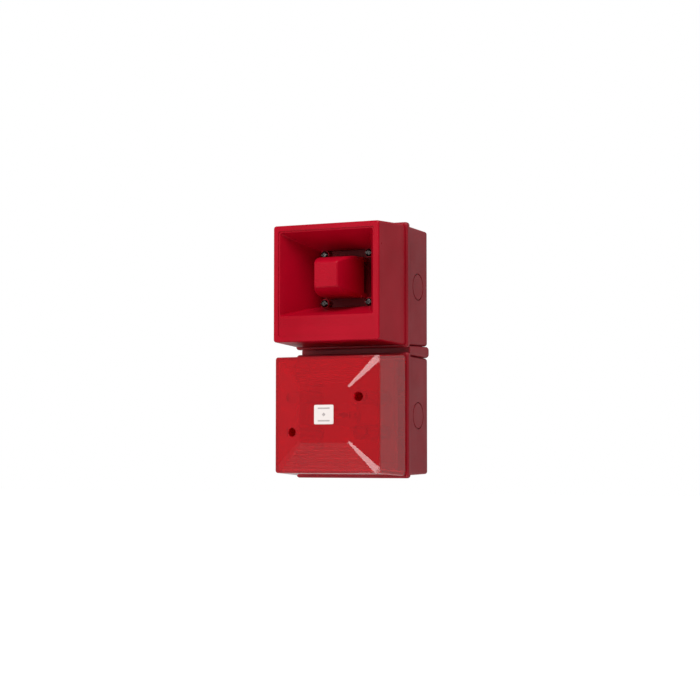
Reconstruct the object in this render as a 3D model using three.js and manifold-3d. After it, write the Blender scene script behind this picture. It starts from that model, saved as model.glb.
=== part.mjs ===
// Horn strobe: a sounder above a beacon, each on its own square back box, joined by a coupler.
// Millimetres, +Z up, front towards -Y. The origin lies on the wall plane, on the coupler's back
// face, midway between the two units. Every piece is one closed solid in a named mesh of its own.

import * as THREE from 'three';
import { mergeVertices } from 'three/addons/utils/BufferGeometryUtils.js';
import Module from 'manifold-3d';

// ---- Clearances and smoothness ----
const FIT = 0.3; // gap round anything that sits on, or in, another piece
const RUN = 0.5; // gap round anything that moves
const BOND = 0.1; // thickness of a glue line
const CORNER_DIVISIONS = 1; // half the number of chords in a rounded corner
const ROUND_SIDES = 24; // chords in a large circle
const SMALL_SIDES = 12; // chords in a screw, post or small hole
const THROUGH = 1; // how far a cutter runs past the face that it cuts
const SEAM = 0.001; // distance within which two vertices are the same point
const QUARTER_HANDLE = 0.5523; // Bezier handle of a quarter circle, as a share of its radius

// ---- The two units ----
const UNIT_SIZE = 102; // across the square flange of each back box
const UNIT_GAP = 4; // between the two flanges
const CORNER_RADIUS = 2.2;
const EDGE_RADIUS = 1.2;

// ---- Back boxes ----
const BOX_DEPTH = 44.4; // wall plane to the flange's front face
const BOX_WALL = 2.5;
const BACK_WALL = 3;
const FLANGE_THICKNESS = 5;
const FLANGE_OVERHANG = 2.25; // flange past the box's side, each side
const BOX_DRAFT = 0.75; // how much narrower the box is at the wall, each side
const KNOCKOUT_DIAMETER = 22.4; // outside of the groove round a conduit knock-out
const KNOCKOUT_GROOVE = 1; // width of that groove, and its depth
const ENTRY_DEPTH = 20; // wall plane to the centre of every knock-out and of the coupler's bore
const MOUNT_HOLE_DIAMETER = 5;
const MOUNT_HOLE_INSET = 6; // centre of a wall-screw hole to the box's inner wall
const PCB_POST_DIAMETER = 5;

// ---- Gasket between a cover and its flange ----
const GASKET_THICKNESS = 0.9;
const GASKET_WIDTH = 2;

// ---- What the horn housing and the lens share ----
const COVER_SETBACK = 1.8; // cover's rear edge inside the flange's edge, each side
const COVER_WALL = 2.5;
const NECK_HEIGHT = 1.2; // recessed foot of the cover, on the gasket
const NECK_SETBACK = 1.2;
const COVER_DEPTH = 46.5; // cover's rear edge to the horn's front plane

// ---- Horn housing ----
const HORN_DRAFT = 1.9; // how much narrower the front is, each side
const RIM_WIDTH = 4.3;
const RIM_HEIGHT = 0.8; // rim stands proud of the panel inside it
const MOUTH_MARGIN = 1.4; // rim's inner edge to the mouth, at the sides and the top
const BAND_HEIGHT = 16.6; // flat band below the mouth
const FLARE_DEPTH = 39; // front plane to the end of the flare
const FLARE_WALL = 2.2;
const FLARE_CURVE = 1.25; // 1 is a straight-sided flare, more is a bell
const FLARE_STEPS = 6;
const THROAT_SIZE = 47; // square opening at the end of the flare
const THROAT_RISE = 6.3; // throat and driver above the unit's centre
const CHAMBER_DEPTH = 4.6; // behind the flare, where the sound turns forwards
const SEAT_WIDTH = 4.8; // wall round the chamber, which the driver plate sits on
const HORN_BOSS_DIAMETER = 7.6;

// ---- Horn plug ----
const PLUG_FACE = 19.4; // square front
const PLUG_BEVEL = 0.9;
const PLUG_SHOULDER_SIZE = 30;
const PLUG_SHOULDER_DEPTH = 7.5;
const PLUG_REAR_SIZE = 33.4;
const PLUG_LENGTH = 36.5;
const PLUG_WALL = 2;
const PLUG_RECESS = 0.2; // plug's front behind the horn's front plane
const PLUG_LEG = 3.6; // square legs down to the driver plate

// ---- Compression driver ----
const PLATE_THICKNESS = 2.5;
const THROAT_BORE = 11;
const THROAT_TUBE_WALL = 2;
const THROAT_TUBE_LENGTH = 29;
const DIAPHRAGM_THICKNESS = 0.6;
const DIAPHRAGM_DOME_DEPTH = 1.8;
const DIAPHRAGM_TRAVEL = 0.4; // each way
const SURROUND_THICKNESS = 0.9;
const FRAME_CLEARANCE = 1.7; // between the driver and the screw posts round it
const FRAME_WIDTH = 4; // ring outside the moving diaphragm
const FRAME_HEIGHT = 8;
const COIL_DIAMETER = 20.6;
const COIL_WALL = 0.7;
const COIL_LENGTH = 7;
const TOP_PLATE_THICKNESS = 3;
const MAGNET_SETBACK = 2.5; // inside the frame's outside
const MAGNET_BORE = 26;
const MAGNET_HEIGHT = 8;
const YOKE_THICKNESS = 3;
const POLE_TIP_SHORTFALL = 0.4; // pole tip behind the top plate's front

// ---- Screws ----
const SCREW_DIAMETER = 3.5;
const SCREW_HEAD_DIAMETER = 6.2;
const SCREW_HEAD_HEIGHT = 2.2;
const SCREW_BITE = 9; // how deep a screw goes into its post
const SCREW_SLOT = 1;
const POST_DIAMETER = 8.4;

// ---- Lens ----
const LENS_DRAFT = 2.5;
const LENS_WALL = 2.5;
const LENS_SETBACK = 3; // lens corners behind the horn's front plane
const LENS_FLAT = 45; // raised flat in the middle of the front
const LENS_CROWN = 5.6; // how far the flat stands out from the corners
const WELL_INSET = 17.2; // screw wells from the lens's sides
const WELL_BOARD_INSET = 19; // and from the level of the board's top and bottom edges
const WELL_DIAMETER = 12.4;
const WELL_BORE = 7.4;
const WELL_FLOOR = 2.5;
const WELL_RECESS = 2.5; // well's rear end inside the lens's foot
const LABEL_WIDTH = 17.2;
const LABEL_HEIGHT = 15.5;
const LABEL_THICKNESS = 0.3;
const LABEL_RADIUS = 1;

// ---- Beacon chassis ----
const REFLECTOR_THICKNESS = 2;
const REFLECTOR_RIM_HEIGHT = 9;
const REFLECTOR_FLOOR_INSET = 6; // how far the rim spreads from floor to edge
const TOWER_DIAMETER = 21;
const TOWER_SPIGOT = 4; // tower's head in front of the reflector
const TUBE_DIAMETER = 4.4;
const TUBE_SPREAD = 14; // between the two legs of the flash tube
const TUBE_LEG = 22; // straight part in front of the tower
const TUBE_SOCKET = 3;
const TUBE_STEPS = 20; // along the whole flash tube

// ---- Coupler between the boxes ----
const COUPLER_OVERHANG = 1.5; // past the boxes' sides at the wall, each side
const COUPLER_RADIUS = 3;
const NIPPLE_DIAMETER = 19.6;
const NIPPLE_BORE = 14;
const NIPPLE_REACH = 7; // into each box
const LOCKNUT_ACROSS_FLATS = 26;
const LOCKNUT_THICKNESS = 4;
const CABLE_DIAMETER = 6;
const CABLE_BOW = 1.2; // how far the cable bows to one side
const CABLE_LEAD = 4; // straight run at each end
const CABLE_SIDES = 8;
const CABLE_STEPS = 16;

// ---- Circuit boards and what is on them ----
const PCB_THICKNESS = 1.6;
const PCB_STANDOFF = 9.2; // back wall to the board
const PCB_MOUNT_CLEARANCE = 5; // board's edge to the centre of a wall-screw hole
const PCB_END_INSET = 12.5; // board's top and bottom edges to the box's inner wall
const TERMINAL_PITCH = 5.08;
const TERMINAL_WAYS = 4;
const TERMINAL_DEPTH = 9;
const TERMINAL_HEIGHT = 10.8;
const TERMINAL_EDGE = 1.5; // block to the board's edge
const TERMINAL_SCREW_DIAMETER = 3.4;
const TERMINAL_SCREW_LENGTH = 5;
const WIRE_HOLE = 2.6;
const SWITCH_PITCH = 2.54;
const SWITCH_COUNT = 5;
const SWITCH_END = 0.381; // body past the outer sliders' pitch, each end
const SWITCH_DEPTH = 6.6;
const SWITCH_HEIGHT = 3.6;
const SWITCH_X = -6.5;
const SLIDER_WIDTH = 1.1;
const SLIDER_LENGTH = 1.5;
const SLIDER_TRAVEL = 1.8;
const SLIDER_DEPTH = 1;
const SLIDER_PROUD = 0.7;
const TRIMMER_X = 9.5;
const TRIMMER_SIZE = 6.6;
const TRIMMER_HEIGHT = 3.6;
const ROTOR_DIAMETER = 4.4;
const ROTOR_DEPTH = 1.4;
const ROTOR_PROUD = 0.4;
const ROTOR_SLOT = 0.8;
const EDGE_MARGIN = 0.5; // board's edge to the nearest part on it
const TONE_CHIP_SIZE = 10;
const TONE_CHIP_HEIGHT = 2;
const SOUNDER_CAPACITOR = { diameter: 10, height: 11 };
const SOUNDER_INDUCTOR = { diameter: 11, height: 8 };
const FLASH_CAPACITOR = { diameter: 16, length: 30, z: -23 };
const FLASH_TRANSFORMER = { width: 16, depth: 12, height: 15, gap: 4 };
const TRIGGER_COIL = { diameter: 8, height: 10, gap: 4 };

// ---- Sizes worked out from the ones above ----
const UNIT_PITCH = UNIT_SIZE + UNIT_GAP;
const FLANGE_HALF = UNIT_SIZE / 2;
const BOX_FRONT_HALF = FLANGE_HALF - FLANGE_OVERHANG;
const BOX_REAR_HALF = BOX_FRONT_HALF - BOX_DRAFT;
const BOX_INNER_HALF = BOX_REAR_HALF - BOX_WALL;
const FLANGE_FRONT_Y = -BOX_DEPTH;
const FLANGE_REAR_Y = FLANGE_FRONT_Y + FLANGE_THICKNESS;
const GASKET_REAR_Y = FLANGE_FRONT_Y - FIT;
const GASKET_FRONT_Y = GASKET_REAR_Y - GASKET_THICKNESS;
const NECK_REAR_Y = GASKET_FRONT_Y - FIT;
const COVER_REAR_Y = NECK_REAR_Y - NECK_HEIGHT;
const COVER_REAR_HALF = FLANGE_HALF - COVER_SETBACK;
const NECK_HALF = COVER_REAR_HALF - NECK_SETBACK;
const NECK_INNER_HALF = NECK_HALF - COVER_WALL;
const HORN_FRONT_Y = COVER_REAR_Y - COVER_DEPTH;
const HORN_FRONT_HALF = COVER_REAR_HALF - HORN_DRAFT;

const PANEL_HALF = HORN_FRONT_HALF - RIM_WIDTH;
const PANEL_Y = HORN_FRONT_Y + RIM_HEIGHT;
const MOUTH_HALF_X = PANEL_HALF - MOUTH_MARGIN;
const MOUTH_TOP = PANEL_HALF - MOUTH_MARGIN;
const MOUTH_BOTTOM = BAND_HEIGHT - PANEL_HALF;
const MOUTH_HALF_Z = (MOUTH_TOP - MOUTH_BOTTOM) / 2;
const MOUTH_CENTRE_Z = (MOUTH_TOP + MOUTH_BOTTOM) / 2;
const THROAT_HALF = THROAT_SIZE / 2;
const FLARE_END_Y = HORN_FRONT_Y + FLARE_DEPTH;
const SEAT_Y = FLARE_END_Y + CHAMBER_DEPTH;
const SEAT_HALF = THROAT_HALF + SEAT_WIDTH;
const HORN_SCREW_OFFSET = THROAT_HALF - SCREW_HEAD_DIAMETER / 2 - FIT;

const HORN_SCREW_CIRCLE = 2 * Math.hypot(HORN_SCREW_OFFSET, HORN_SCREW_OFFSET);
const FRAME_DIAMETER = HORN_SCREW_CIRCLE - 2 * FRAME_CLEARANCE - POST_DIAMETER;
const DIAPHRAGM_DIAMETER = FRAME_DIAMETER - 2 * FRAME_WIDTH;
const MAGNET_DIAMETER = FRAME_DIAMETER - 2 * MAGNET_SETBACK;
const PLATE_FRONT_Y = SEAT_Y + FIT;
const PLATE_REAR_Y = PLATE_FRONT_Y + PLATE_THICKNESS;
const PLUG_FRONT_Y = HORN_FRONT_Y + PLUG_RECESS;
const PLUG_REAR_Y = PLUG_FRONT_Y + PLUG_LENGTH;
const SURROUND_FRONT_Y = PLATE_REAR_Y + FIT;
const SURROUND_REAR_Y = SURROUND_FRONT_Y + SURROUND_THICKNESS;
const FRAME_FRONT_Y = SURROUND_REAR_Y + FIT;
const FRAME_REAR_Y = FRAME_FRONT_Y + FRAME_HEIGHT;
const DIAPHRAGM_FRONT_Y = PLATE_REAR_Y + DIAPHRAGM_TRAVEL + FIT;
const DIAPHRAGM_REAR_Y = DIAPHRAGM_FRONT_Y + DIAPHRAGM_THICKNESS;
const COIL_FRONT_Y = DIAPHRAGM_REAR_Y + BOND;
const COIL_REAR_Y = COIL_FRONT_Y + COIL_LENGTH;
const TOP_PLATE_REAR_Y = FRAME_REAR_Y;
const TOP_PLATE_FRONT_Y = TOP_PLATE_REAR_Y - TOP_PLATE_THICKNESS;
const MAGNET_FRONT_Y = TOP_PLATE_REAR_Y + FIT;
const MAGNET_REAR_Y = MAGNET_FRONT_Y + MAGNET_HEIGHT;
const YOKE_FRONT_Y = MAGNET_REAR_Y + FIT;
const YOKE_REAR_Y = YOKE_FRONT_Y + YOKE_THICKNESS;
const SCREW_RADIUS = SCREW_DIAMETER / 2;
const SCREW_HOLE_RADIUS = SCREW_RADIUS + FIT;
const HORN_POST_Y = PLATE_REAR_Y + FIT;

const LENS_CORNER_Y = HORN_FRONT_Y + LENS_SETBACK;
const LENS_FLAT_Y = LENS_CORNER_Y - LENS_CROWN;
const LENS_FRONT_HALF = COVER_REAR_HALF - LENS_DRAFT;
const WELL_REAR_Y = NECK_REAR_Y - WELL_RECESS;
const REFLECTOR_FRONT_Y = WELL_REAR_Y + FIT;
const REFLECTOR_REAR_Y = REFLECTOR_FRONT_Y + REFLECTOR_THICKNESS;
const REFLECTOR_HALF = NECK_INNER_HALF - RUN;
const LENS_POST_Y = REFLECTOR_REAR_Y + FIT;

const PCB_REAR_Y = -(BACK_WALL + PCB_STANDOFF);
const PCB_FRONT_Y = PCB_REAR_Y - PCB_THICKNESS;
const PARTS_Y = PCB_FRONT_Y - FIT;
const MOUNT_HOLE_OFFSET = BOX_INNER_HALF - MOUNT_HOLE_INSET;
const PCB_HALF_X = MOUNT_HOLE_OFFSET - PCB_MOUNT_CLEARANCE;
const PCB_HALF_Z = BOX_INNER_HALF - PCB_END_INSET;
const TERMINAL_WIDTH = TERMINAL_WAYS * TERMINAL_PITCH;
const TERMINAL_Z = PCB_HALF_Z - TERMINAL_EDGE - TERMINAL_DEPTH / 2;
const SWITCH_WIDTH = SWITCH_COUNT * SWITCH_PITCH + 2 * SWITCH_END;
const SWITCH_Z = PCB_HALF_Z - TERMINAL_EDGE - SWITCH_DEPTH / 2;

const WELL_X = LENS_FRONT_HALF - WELL_INSET;
const WELL_Z = PCB_HALF_Z - WELL_BOARD_INSET;

const HORN_SCREWS = cornersOf(HORN_SCREW_OFFSET, HORN_SCREW_OFFSET, THROAT_RISE);
const WELLS = cornersOf(WELL_X, WELL_Z, 0);
const LENS_SCREWS = [WELLS[0], WELLS[2]]; // the upper right and the lower left wells are open

// ---- Materials ----
const RED = 0xb5162c;
const RED_BOX = 0x9e2631;
const BLACK = 0x1b1b1d;
const STEEL = 0x3c3a39;
const ZINC = 0xc9c7c0;
const WHITE = 0xf2efea;
const BOARD_GREEN = 0x1f5b35;
const TERMINAL_GREEN = 0x2f7a46;
const COPPER = 0xb4653a;

const finish = (color, roughness, metalness = 0) => (
  new THREE.MeshStandardMaterial({ color, roughness, metalness })
);
const glossRed = () => finish(RED, 0.32);
const boxRed = () => finish(RED_BOX, 0.45);
const blackPlastic = () => finish(BLACK, 0.5);
const rubber = () => finish(BLACK, 0.85);
const steel = () => finish(STEEL, 0.35, 1);
const zinc = () => finish(ZINC, 0.4, 1);
const redGlass = () => (
  new THREE.MeshStandardMaterial({ color: RED, roughness: 0.08, transparent: true, opacity: 0.45 })
);

// ---- Solids from three.js geometry ----
const wasm = await Module();
wasm.setup();

// Welds a closed three.js geometry into a solid that can be cut and joined.
function solid(geometry) {
  geometry.deleteAttribute('normal');
  geometry.deleteAttribute('uv');
  const welded = mergeVertices(geometry, SEAM);
  return new wasm.Manifold(new wasm.Mesh({
    numProp: 3,
    vertProperties: Float32Array.from(welded.attributes.position.array),
    triVerts: Uint32Array.from(welded.index.array),
  }));
}

// Makes the named mesh of one piece.
function piece(name, shape, material) {
  const { vertProperties, triVerts } = shape.getMesh();
  const geometry = new THREE.BufferGeometry();
  geometry.setAttribute('position', new THREE.BufferAttribute(vertProperties, 3));
  geometry.setIndex(new THREE.BufferAttribute(triVerts, 1));
  geometry.computeVertexNormals();
  const mesh = new THREE.Mesh(geometry, material);
  mesh.name = name;
  return mesh;
}

const union = (first, ...others) => others.reduce((whole, part) => whole.add(part), first);
const cut = (first, ...others) => others.reduce((whole, part) => whole.subtract(part), first);

// A box between two limits on each axis.
function block([x0, x1], [y0, y1], [z0, z1]) {
  const geometry = new THREE.BoxGeometry(x1 - x0, y1 - y0, z1 - z0);
  geometry.translate((x0 + x1) / 2, (y0 + y1) / 2, (z0 + z1) / 2);
  return solid(geometry);
}

// A round bar along Y.
function bar(diameter, y0, y1, x = 0, z = 0, sides = SMALL_SIDES) {
  const geometry = new THREE.CylinderGeometry(diameter / 2, diameter / 2, y1 - y0, sides);
  geometry.translate(x, (y0 + y1) / 2, z);
  return solid(geometry);
}

// A round bar along X or Z, centred on a point.
function crossBar(diameter, length, axis, x, y, z, sides = ROUND_SIDES) {
  const geometry = new THREE.CylinderGeometry(diameter / 2, diameter / 2, length, sides);
  if (axis === 'x') geometry.rotateZ(Math.PI / 2);
  if (axis === 'z') geometry.rotateX(Math.PI / 2);
  geometry.translate(x, y, z);
  return solid(geometry);
}

// A flat round ring with its axis along Y.
function ring(outer, inner, y0, y1) {
  return bar(outer, y0, y1, 0, 0, ROUND_SIDES)
    .subtract(bar(inner, y0 - THROUGH, y1 + THROUGH, 0, 0, ROUND_SIDES));
}

// A form with rounded rectangular sections across Y, one for each station, from the rear forwards.
// A station gives its y, its half width x, its half height z, its corner radius r and its rise.
function loft(stations) {
  const outline = new THREE.Shape();
  outline.moveTo(-1, -2);
  outline.absarc(1, -1, 1, -Math.PI / 2, 0);
  outline.absarc(1, 1, 1, 0, Math.PI / 2);
  outline.absarc(-1, 1, 1, Math.PI / 2, Math.PI);
  outline.absarc(-1, -1, 1, Math.PI, 1.5 * Math.PI);
  const steps = stations.length - 1;
  const geometry = new THREE.ExtrudeGeometry(outline, {
    depth: steps,
    steps,
    bevelEnabled: false,
    curveSegments: CORNER_DIVISIONS,
  });
  const points = geometry.attributes.position;
  for (let i = 0; i < points.count; i += 1) {
    const { y, x, z, r, rise = 0 } = stations[Math.round(points.getZ(i))];
    const across = points.getX(i);
    const up = points.getY(i);
    const sideX = Math.sign(across);
    const sideZ = Math.sign(up);
    points.setXYZ(
      i,
      sideX * (x - r) + (across - sideX) * r,
      y,
      sideZ * (z - r) + (up - sideZ) * r + rise,
    );
  }
  return solid(geometry);
}

// A station with a square section.
const square = (y, half, r = CORNER_RADIUS, rise = 0) => ({ y, x: half, z: half, r, rise });

// The four places at plus and minus x and z, anticlockwise from the upper right, seen from the front.
function cornersOf(x, z, rise) {
  return [
    { x, z: rise + z },
    { x: -x, z: rise + z },
    { x: -x, z: rise - z },
    { x, z: rise - z },
  ];
}

// ---- Back box ----
// Outer form: rounded at the wall, slightly wider towards the flange.
function boxOutside() {
  return loft([
    square(0, BOX_REAR_HALF - EDGE_RADIUS),
    square(-EDGE_RADIUS / 3, BOX_REAR_HALF - EDGE_RADIUS / 3),
    square(-EDGE_RADIUS, BOX_REAR_HALF),
    square(FLANGE_REAR_Y - THROUGH, BOX_FRONT_HALF),
  ]);
}

// Flange with a rounded rear and a softer front shoulder.
function boxFlange() {
  return loft([
    square(FLANGE_REAR_Y, FLANGE_HALF - EDGE_RADIUS),
    square(FLANGE_REAR_Y - EDGE_RADIUS, FLANGE_HALF),
    square(FLANGE_FRONT_Y + EDGE_RADIUS, FLANGE_HALF),
    square(FLANGE_FRONT_Y, FLANGE_HALF - EDGE_RADIUS),
  ]);
}

// Groove round one conduit knock-out, centred on the outside of a side wall.
function knockoutGroove(axis, x, z) {
  const depth = 2 * KNOCKOUT_GROOVE;
  const inner = KNOCKOUT_DIAMETER - 2 * KNOCKOUT_GROOVE;
  return crossBar(KNOCKOUT_DIAMETER, depth, axis, x, -ENTRY_DEPTH, z)
    .subtract(crossBar(inner, depth + THROUGH, axis, x, -ENTRY_DEPTH, z));
}

// Where the box's side wall is, at the depth of the knock-outs.
function sideWallAtEntry() {
  const run = -(FLANGE_REAR_Y - THROUGH) - EDGE_RADIUS;
  return BOX_REAR_HALF + BOX_DRAFT * ((ENTRY_DEPTH - EDGE_RADIUS) / run);
}

// A hollow back box. Its facing side, towards the other unit, has the coupler's hole, and the other
// three sides have knock-outs. The screw posts stand at the given places and reach up to postTop.
function backBox(name, facing, posts, postTop) {
  const wall = sideWallAtEntry();
  const inner = BOX_INNER_HALF;
  const postRoot = -BACK_WALL + THROUGH;
  let shape = union(boxOutside(), boxFlange());
  shape = cut(shape, loft([square(-BACK_WALL, inner), square(FLANGE_FRONT_Y - THROUGH, inner)]));
  posts.forEach(({ x, z }) => {
    shape = shape.add(bar(POST_DIAMETER, postTop, postRoot, x, z));
  });
  posts.forEach(({ x, z }) => {
    const top = postTop - THROUGH;
    shape = shape.subtract(bar(2 * SCREW_HOLE_RADIUS, top, postTop + SCREW_BITE + FIT, x, z));
  });
  const postX = PCB_HALF_X - PCB_POST_DIAMETER / 2;
  const postZ = PCB_HALF_Z - PCB_POST_DIAMETER / 2;
  cornersOf(postX, postZ, 0).forEach(({ x, z }) => {
    shape = shape.add(bar(PCB_POST_DIAMETER, PCB_REAR_Y + FIT, postRoot, x, z));
  });
  cornersOf(MOUNT_HOLE_OFFSET, MOUNT_HOLE_OFFSET, 0).forEach(({ x, z }) => {
    shape = shape.subtract(bar(MOUNT_HOLE_DIAMETER, -BACK_WALL - THROUGH, THROUGH, x, z));
  });
  shape = cut(
    shape,
    knockoutGroove('x', wall, 0),
    knockoutGroove('x', -wall, 0),
    knockoutGroove('z', 0, -facing * wall),
    crossBar(NIPPLE_DIAMETER + 2 * FIT, 4 * BOX_WALL, 'z', 0, -ENTRY_DEPTH, facing * wall),
  );
  return piece(name, shape, boxRed());
}

// A square gasket that lies on the flange.
function gasket(name) {
  const shape = loft([square(GASKET_REAR_Y, NECK_HALF), square(GASKET_FRONT_Y, NECK_HALF)]);
  const inner = NECK_HALF - GASKET_WIDTH;
  const hole = loft([square(GASKET_REAR_Y + THROUGH, inner), square(GASKET_FRONT_Y - THROUGH, inner)]);
  return piece(name, cut(shape, hole), rubber());
}

// ---- Horn housing ----
// The flare between the mouth and the throat, made wider all round by a wall thickness.
function flare(wall, frontY, rearY) {
  const stations = [];
  for (let step = FLARE_STEPS; step >= 0; step -= 1) {
    const along = step / FLARE_STEPS;
    const spread = (1 - along) ** FLARE_CURVE;
    stations.push({
      y: HORN_FRONT_Y + FLARE_DEPTH * along,
      x: THROAT_HALF + (MOUTH_HALF_X - THROAT_HALF) * spread + wall,
      z: THROAT_HALF + (MOUTH_HALF_Z - THROAT_HALF) * spread + wall,
      r: CORNER_RADIUS,
      rise: THROAT_RISE + (MOUTH_CENTRE_Z - THROAT_RISE) * spread,
    });
  }
  stations[0].y = rearY;
  stations[FLARE_STEPS].y = frontY;
  return loft(stations);
}

function hornOutside() {
  return union(
    loft([
      square(COVER_REAR_Y, COVER_REAR_HALF),
      square(HORN_FRONT_Y + EDGE_RADIUS, HORN_FRONT_HALF),
      square(HORN_FRONT_Y, HORN_FRONT_HALF - EDGE_RADIUS),
    ]),
    loft([square(NECK_REAR_Y, NECK_HALF), square(COVER_REAR_Y - THROUGH, NECK_HALF)]),
  );
}

// The space inside the housing and round the flare, open at the rear.
function hornBackSpace() {
  const ceiling = PANEL_Y + COVER_WALL;
  const space = loft([
    square(NECK_REAR_Y + THROUGH, NECK_INNER_HALF),
    square(COVER_REAR_Y, NECK_INNER_HALF),
    square(ceiling, HORN_FRONT_HALF - COVER_WALL),
  ]);
  const seat = loft([
    square(SEAT_Y, SEAT_HALF, CORNER_RADIUS, THROAT_RISE),
    square(FLARE_END_Y - CHAMBER_DEPTH, SEAT_HALF, CORNER_RADIUS, THROAT_RISE),
  ]);
  return cut(space, flare(FLARE_WALL, HORN_FRONT_Y - THROUGH, FLARE_END_Y), seat);
}

function hornHousing() {
  const panel = loft([square(PANEL_Y, PANEL_HALF), square(HORN_FRONT_Y - THROUGH, PANEL_HALF)]);
  const chamber = loft([
    square(SEAT_Y + THROUGH, THROAT_HALF, CORNER_RADIUS, THROAT_RISE),
    square(FLARE_END_Y - SEAM, THROAT_HALF, CORNER_RADIUS, THROAT_RISE),
  ]);
  let shape = cut(hornOutside(), hornBackSpace(), panel);
  shape = cut(shape, flare(0, HORN_FRONT_Y, FLARE_END_Y), chamber);
  HORN_SCREWS.forEach(({ x, z }) => {
    const reach = THROAT_HALF + SEAT_WIDTH / 2;
    const outX = Math.sign(x) * reach;
    const outZ = THROAT_RISE + Math.sign(z - THROAT_RISE) * reach;
    const corner = block(ordered(x, outX), [FLARE_END_Y, SEAT_Y], ordered(z, outZ));
    shape = union(shape, bar(HORN_BOSS_DIAMETER, FLARE_END_Y, SEAT_Y, x, z), corner);
  });
  HORN_SCREWS.forEach(({ x, z }) => {
    const hole = bar(2 * SCREW_HOLE_RADIUS, FLARE_END_Y - THROUGH, SEAT_Y + THROUGH, x, z);
    shape = shape.subtract(hole);
  });
  return piece('horn_housing', shape, glossRed());
}

// Two limits with the lower one first.
function ordered(a, b) {
  return [Math.min(a, b), Math.max(a, b)];
}

// ---- Horn plug ----
// Its outer or inner form, made smaller all round by a wall thickness.
function plugForm(wall, frontY, rearY) {
  const shoulderY = PLUG_FRONT_Y + PLUG_SHOULDER_DEPTH;
  const radius = CORNER_RADIUS - wall / 2;
  return loft([
    square(rearY, PLUG_REAR_SIZE / 2 - wall, radius, THROAT_RISE),
    square(shoulderY, PLUG_SHOULDER_SIZE / 2 - wall, radius, THROAT_RISE),
    square(frontY + PLUG_BEVEL, PLUG_FACE / 2 + PLUG_BEVEL - wall, radius / 2, THROAT_RISE),
    square(frontY, PLUG_FACE / 2 - wall, radius / 2, THROAT_RISE),
  ]);
}

function hornPlug() {
  const inside = plugForm(PLUG_WALL, PLUG_FRONT_Y + PLUG_WALL, PLUG_REAR_Y + THROUGH);
  let shape = cut(plugForm(0, PLUG_FRONT_Y, PLUG_REAR_Y), inside);
  const leg = PLUG_REAR_SIZE / 2 - PLUG_LEG;
  cornersOf(leg, leg, THROAT_RISE).forEach(({ x, z }) => {
    const outX = x + Math.sign(x) * PLUG_LEG;
    const outZ = z + Math.sign(z - THROAT_RISE) * PLUG_LEG;
    const foot = block(ordered(x, outX), [PLUG_REAR_Y - PLUG_LEG, SEAT_Y], ordered(z, outZ));
    shape = shape.add(foot.intersect(legOutline()));
  });
  return piece('horn_plug', shape, glossRed());
}

// Keeps the legs inside the plug's own rounded outline.
function legOutline() {
  const half = PLUG_REAR_SIZE / 2;
  return loft([
    square(SEAT_Y, half, CORNER_RADIUS, THROAT_RISE),
    square(PLUG_REAR_Y - SEAM, half, CORNER_RADIUS, THROAT_RISE),
    square(PLUG_FRONT_Y + PLUG_SHOULDER_DEPTH, PLUG_SHOULDER_SIZE / 2, CORNER_RADIUS, THROAT_RISE),
  ]);
}

// ---- Compression driver, on the throat's axis ----
// Square front plate, moulded in the horn's red, with the throat tube that runs into the plug.
function driverPlate() {
  const half = SEAT_HALF - FIT;
  const tubeFront = PLATE_FRONT_Y - THROAT_TUBE_LENGTH;
  const tubeDiameter = THROAT_BORE + 2 * THROAT_TUBE_WALL;
  let shape = union(
    loft([square(PLATE_REAR_Y, half), square(PLATE_FRONT_Y, half)]),
    bar(tubeDiameter, tubeFront, PLATE_REAR_Y, 0, 0, ROUND_SIDES),
  );
  shape = shape.subtract(
    bar(THROAT_BORE, tubeFront - THROUGH, PLATE_REAR_Y + THROUGH, 0, 0, ROUND_SIDES),
  );
  cornersOf(HORN_SCREW_OFFSET, HORN_SCREW_OFFSET, 0).forEach(({ x, z }) => {
    const hole = bar(2 * SCREW_HOLE_RADIUS, PLATE_FRONT_Y - THROUGH, PLATE_REAR_Y + THROUGH, x, z);
    shape = shape.subtract(hole);
  });
  return piece('driver_plate', shape, glossRed());
}

// Diaphragm turned about the driver's axis: a flat rim and a dome that bulges to the rear.
function diaphragm() {
  const rim = DIAPHRAGM_DIAMETER / 2;
  const dome = COIL_DIAMETER / 2 - COIL_WALL;
  const domeSteps = 4;
  const front = [];
  const rear = [];
  for (let step = 0; step <= domeSteps; step += 1) {
    const share = step / domeSteps;
    const sag = DIAPHRAGM_DOME_DEPTH * (1 - share ** 2);
    front.push(new THREE.Vector2(dome * share, DIAPHRAGM_FRONT_Y + sag));
    rear.push(new THREE.Vector2(dome * share, DIAPHRAGM_REAR_Y + sag));
  }
  const profile = [
    ...front,
    new THREE.Vector2(rim, DIAPHRAGM_FRONT_Y),
    new THREE.Vector2(rim, DIAPHRAGM_REAR_Y),
    ...rear.reverse(),
  ];
  const shape = solid(new THREE.LatheGeometry(profile, ROUND_SIDES));
  return piece('diaphragm', shape, finish(0xd8c9a6, 0.5));
}

function diaphragmSurround() {
  const inner = DIAPHRAGM_DIAMETER + 2 * FIT;
  const shape = ring(FRAME_DIAMETER, inner, SURROUND_FRONT_Y, SURROUND_REAR_Y);
  return piece('diaphragm_surround', shape, rubber());
}

function voiceCoil() {
  const shape = ring(COIL_DIAMETER, COIL_DIAMETER - 2 * COIL_WALL, COIL_FRONT_Y, COIL_REAR_Y);
  return piece('voice_coil', shape, finish(COPPER, 0.4, 1));
}

function driverFrame() {
  const inner = DIAPHRAGM_DIAMETER + 2 * RUN;
  const shape = ring(FRAME_DIAMETER, inner, FRAME_FRONT_Y, FRAME_REAR_Y);
  return piece('driver_frame', shape, blackPlastic());
}

function driverTopPlate() {
  const outer = DIAPHRAGM_DIAMETER + 2 * RUN - 2 * FIT;
  const shape = ring(outer, COIL_DIAMETER + 2 * RUN, TOP_PLATE_FRONT_Y, TOP_PLATE_REAR_Y);
  return piece('driver_top_plate', shape, zinc());
}

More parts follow.
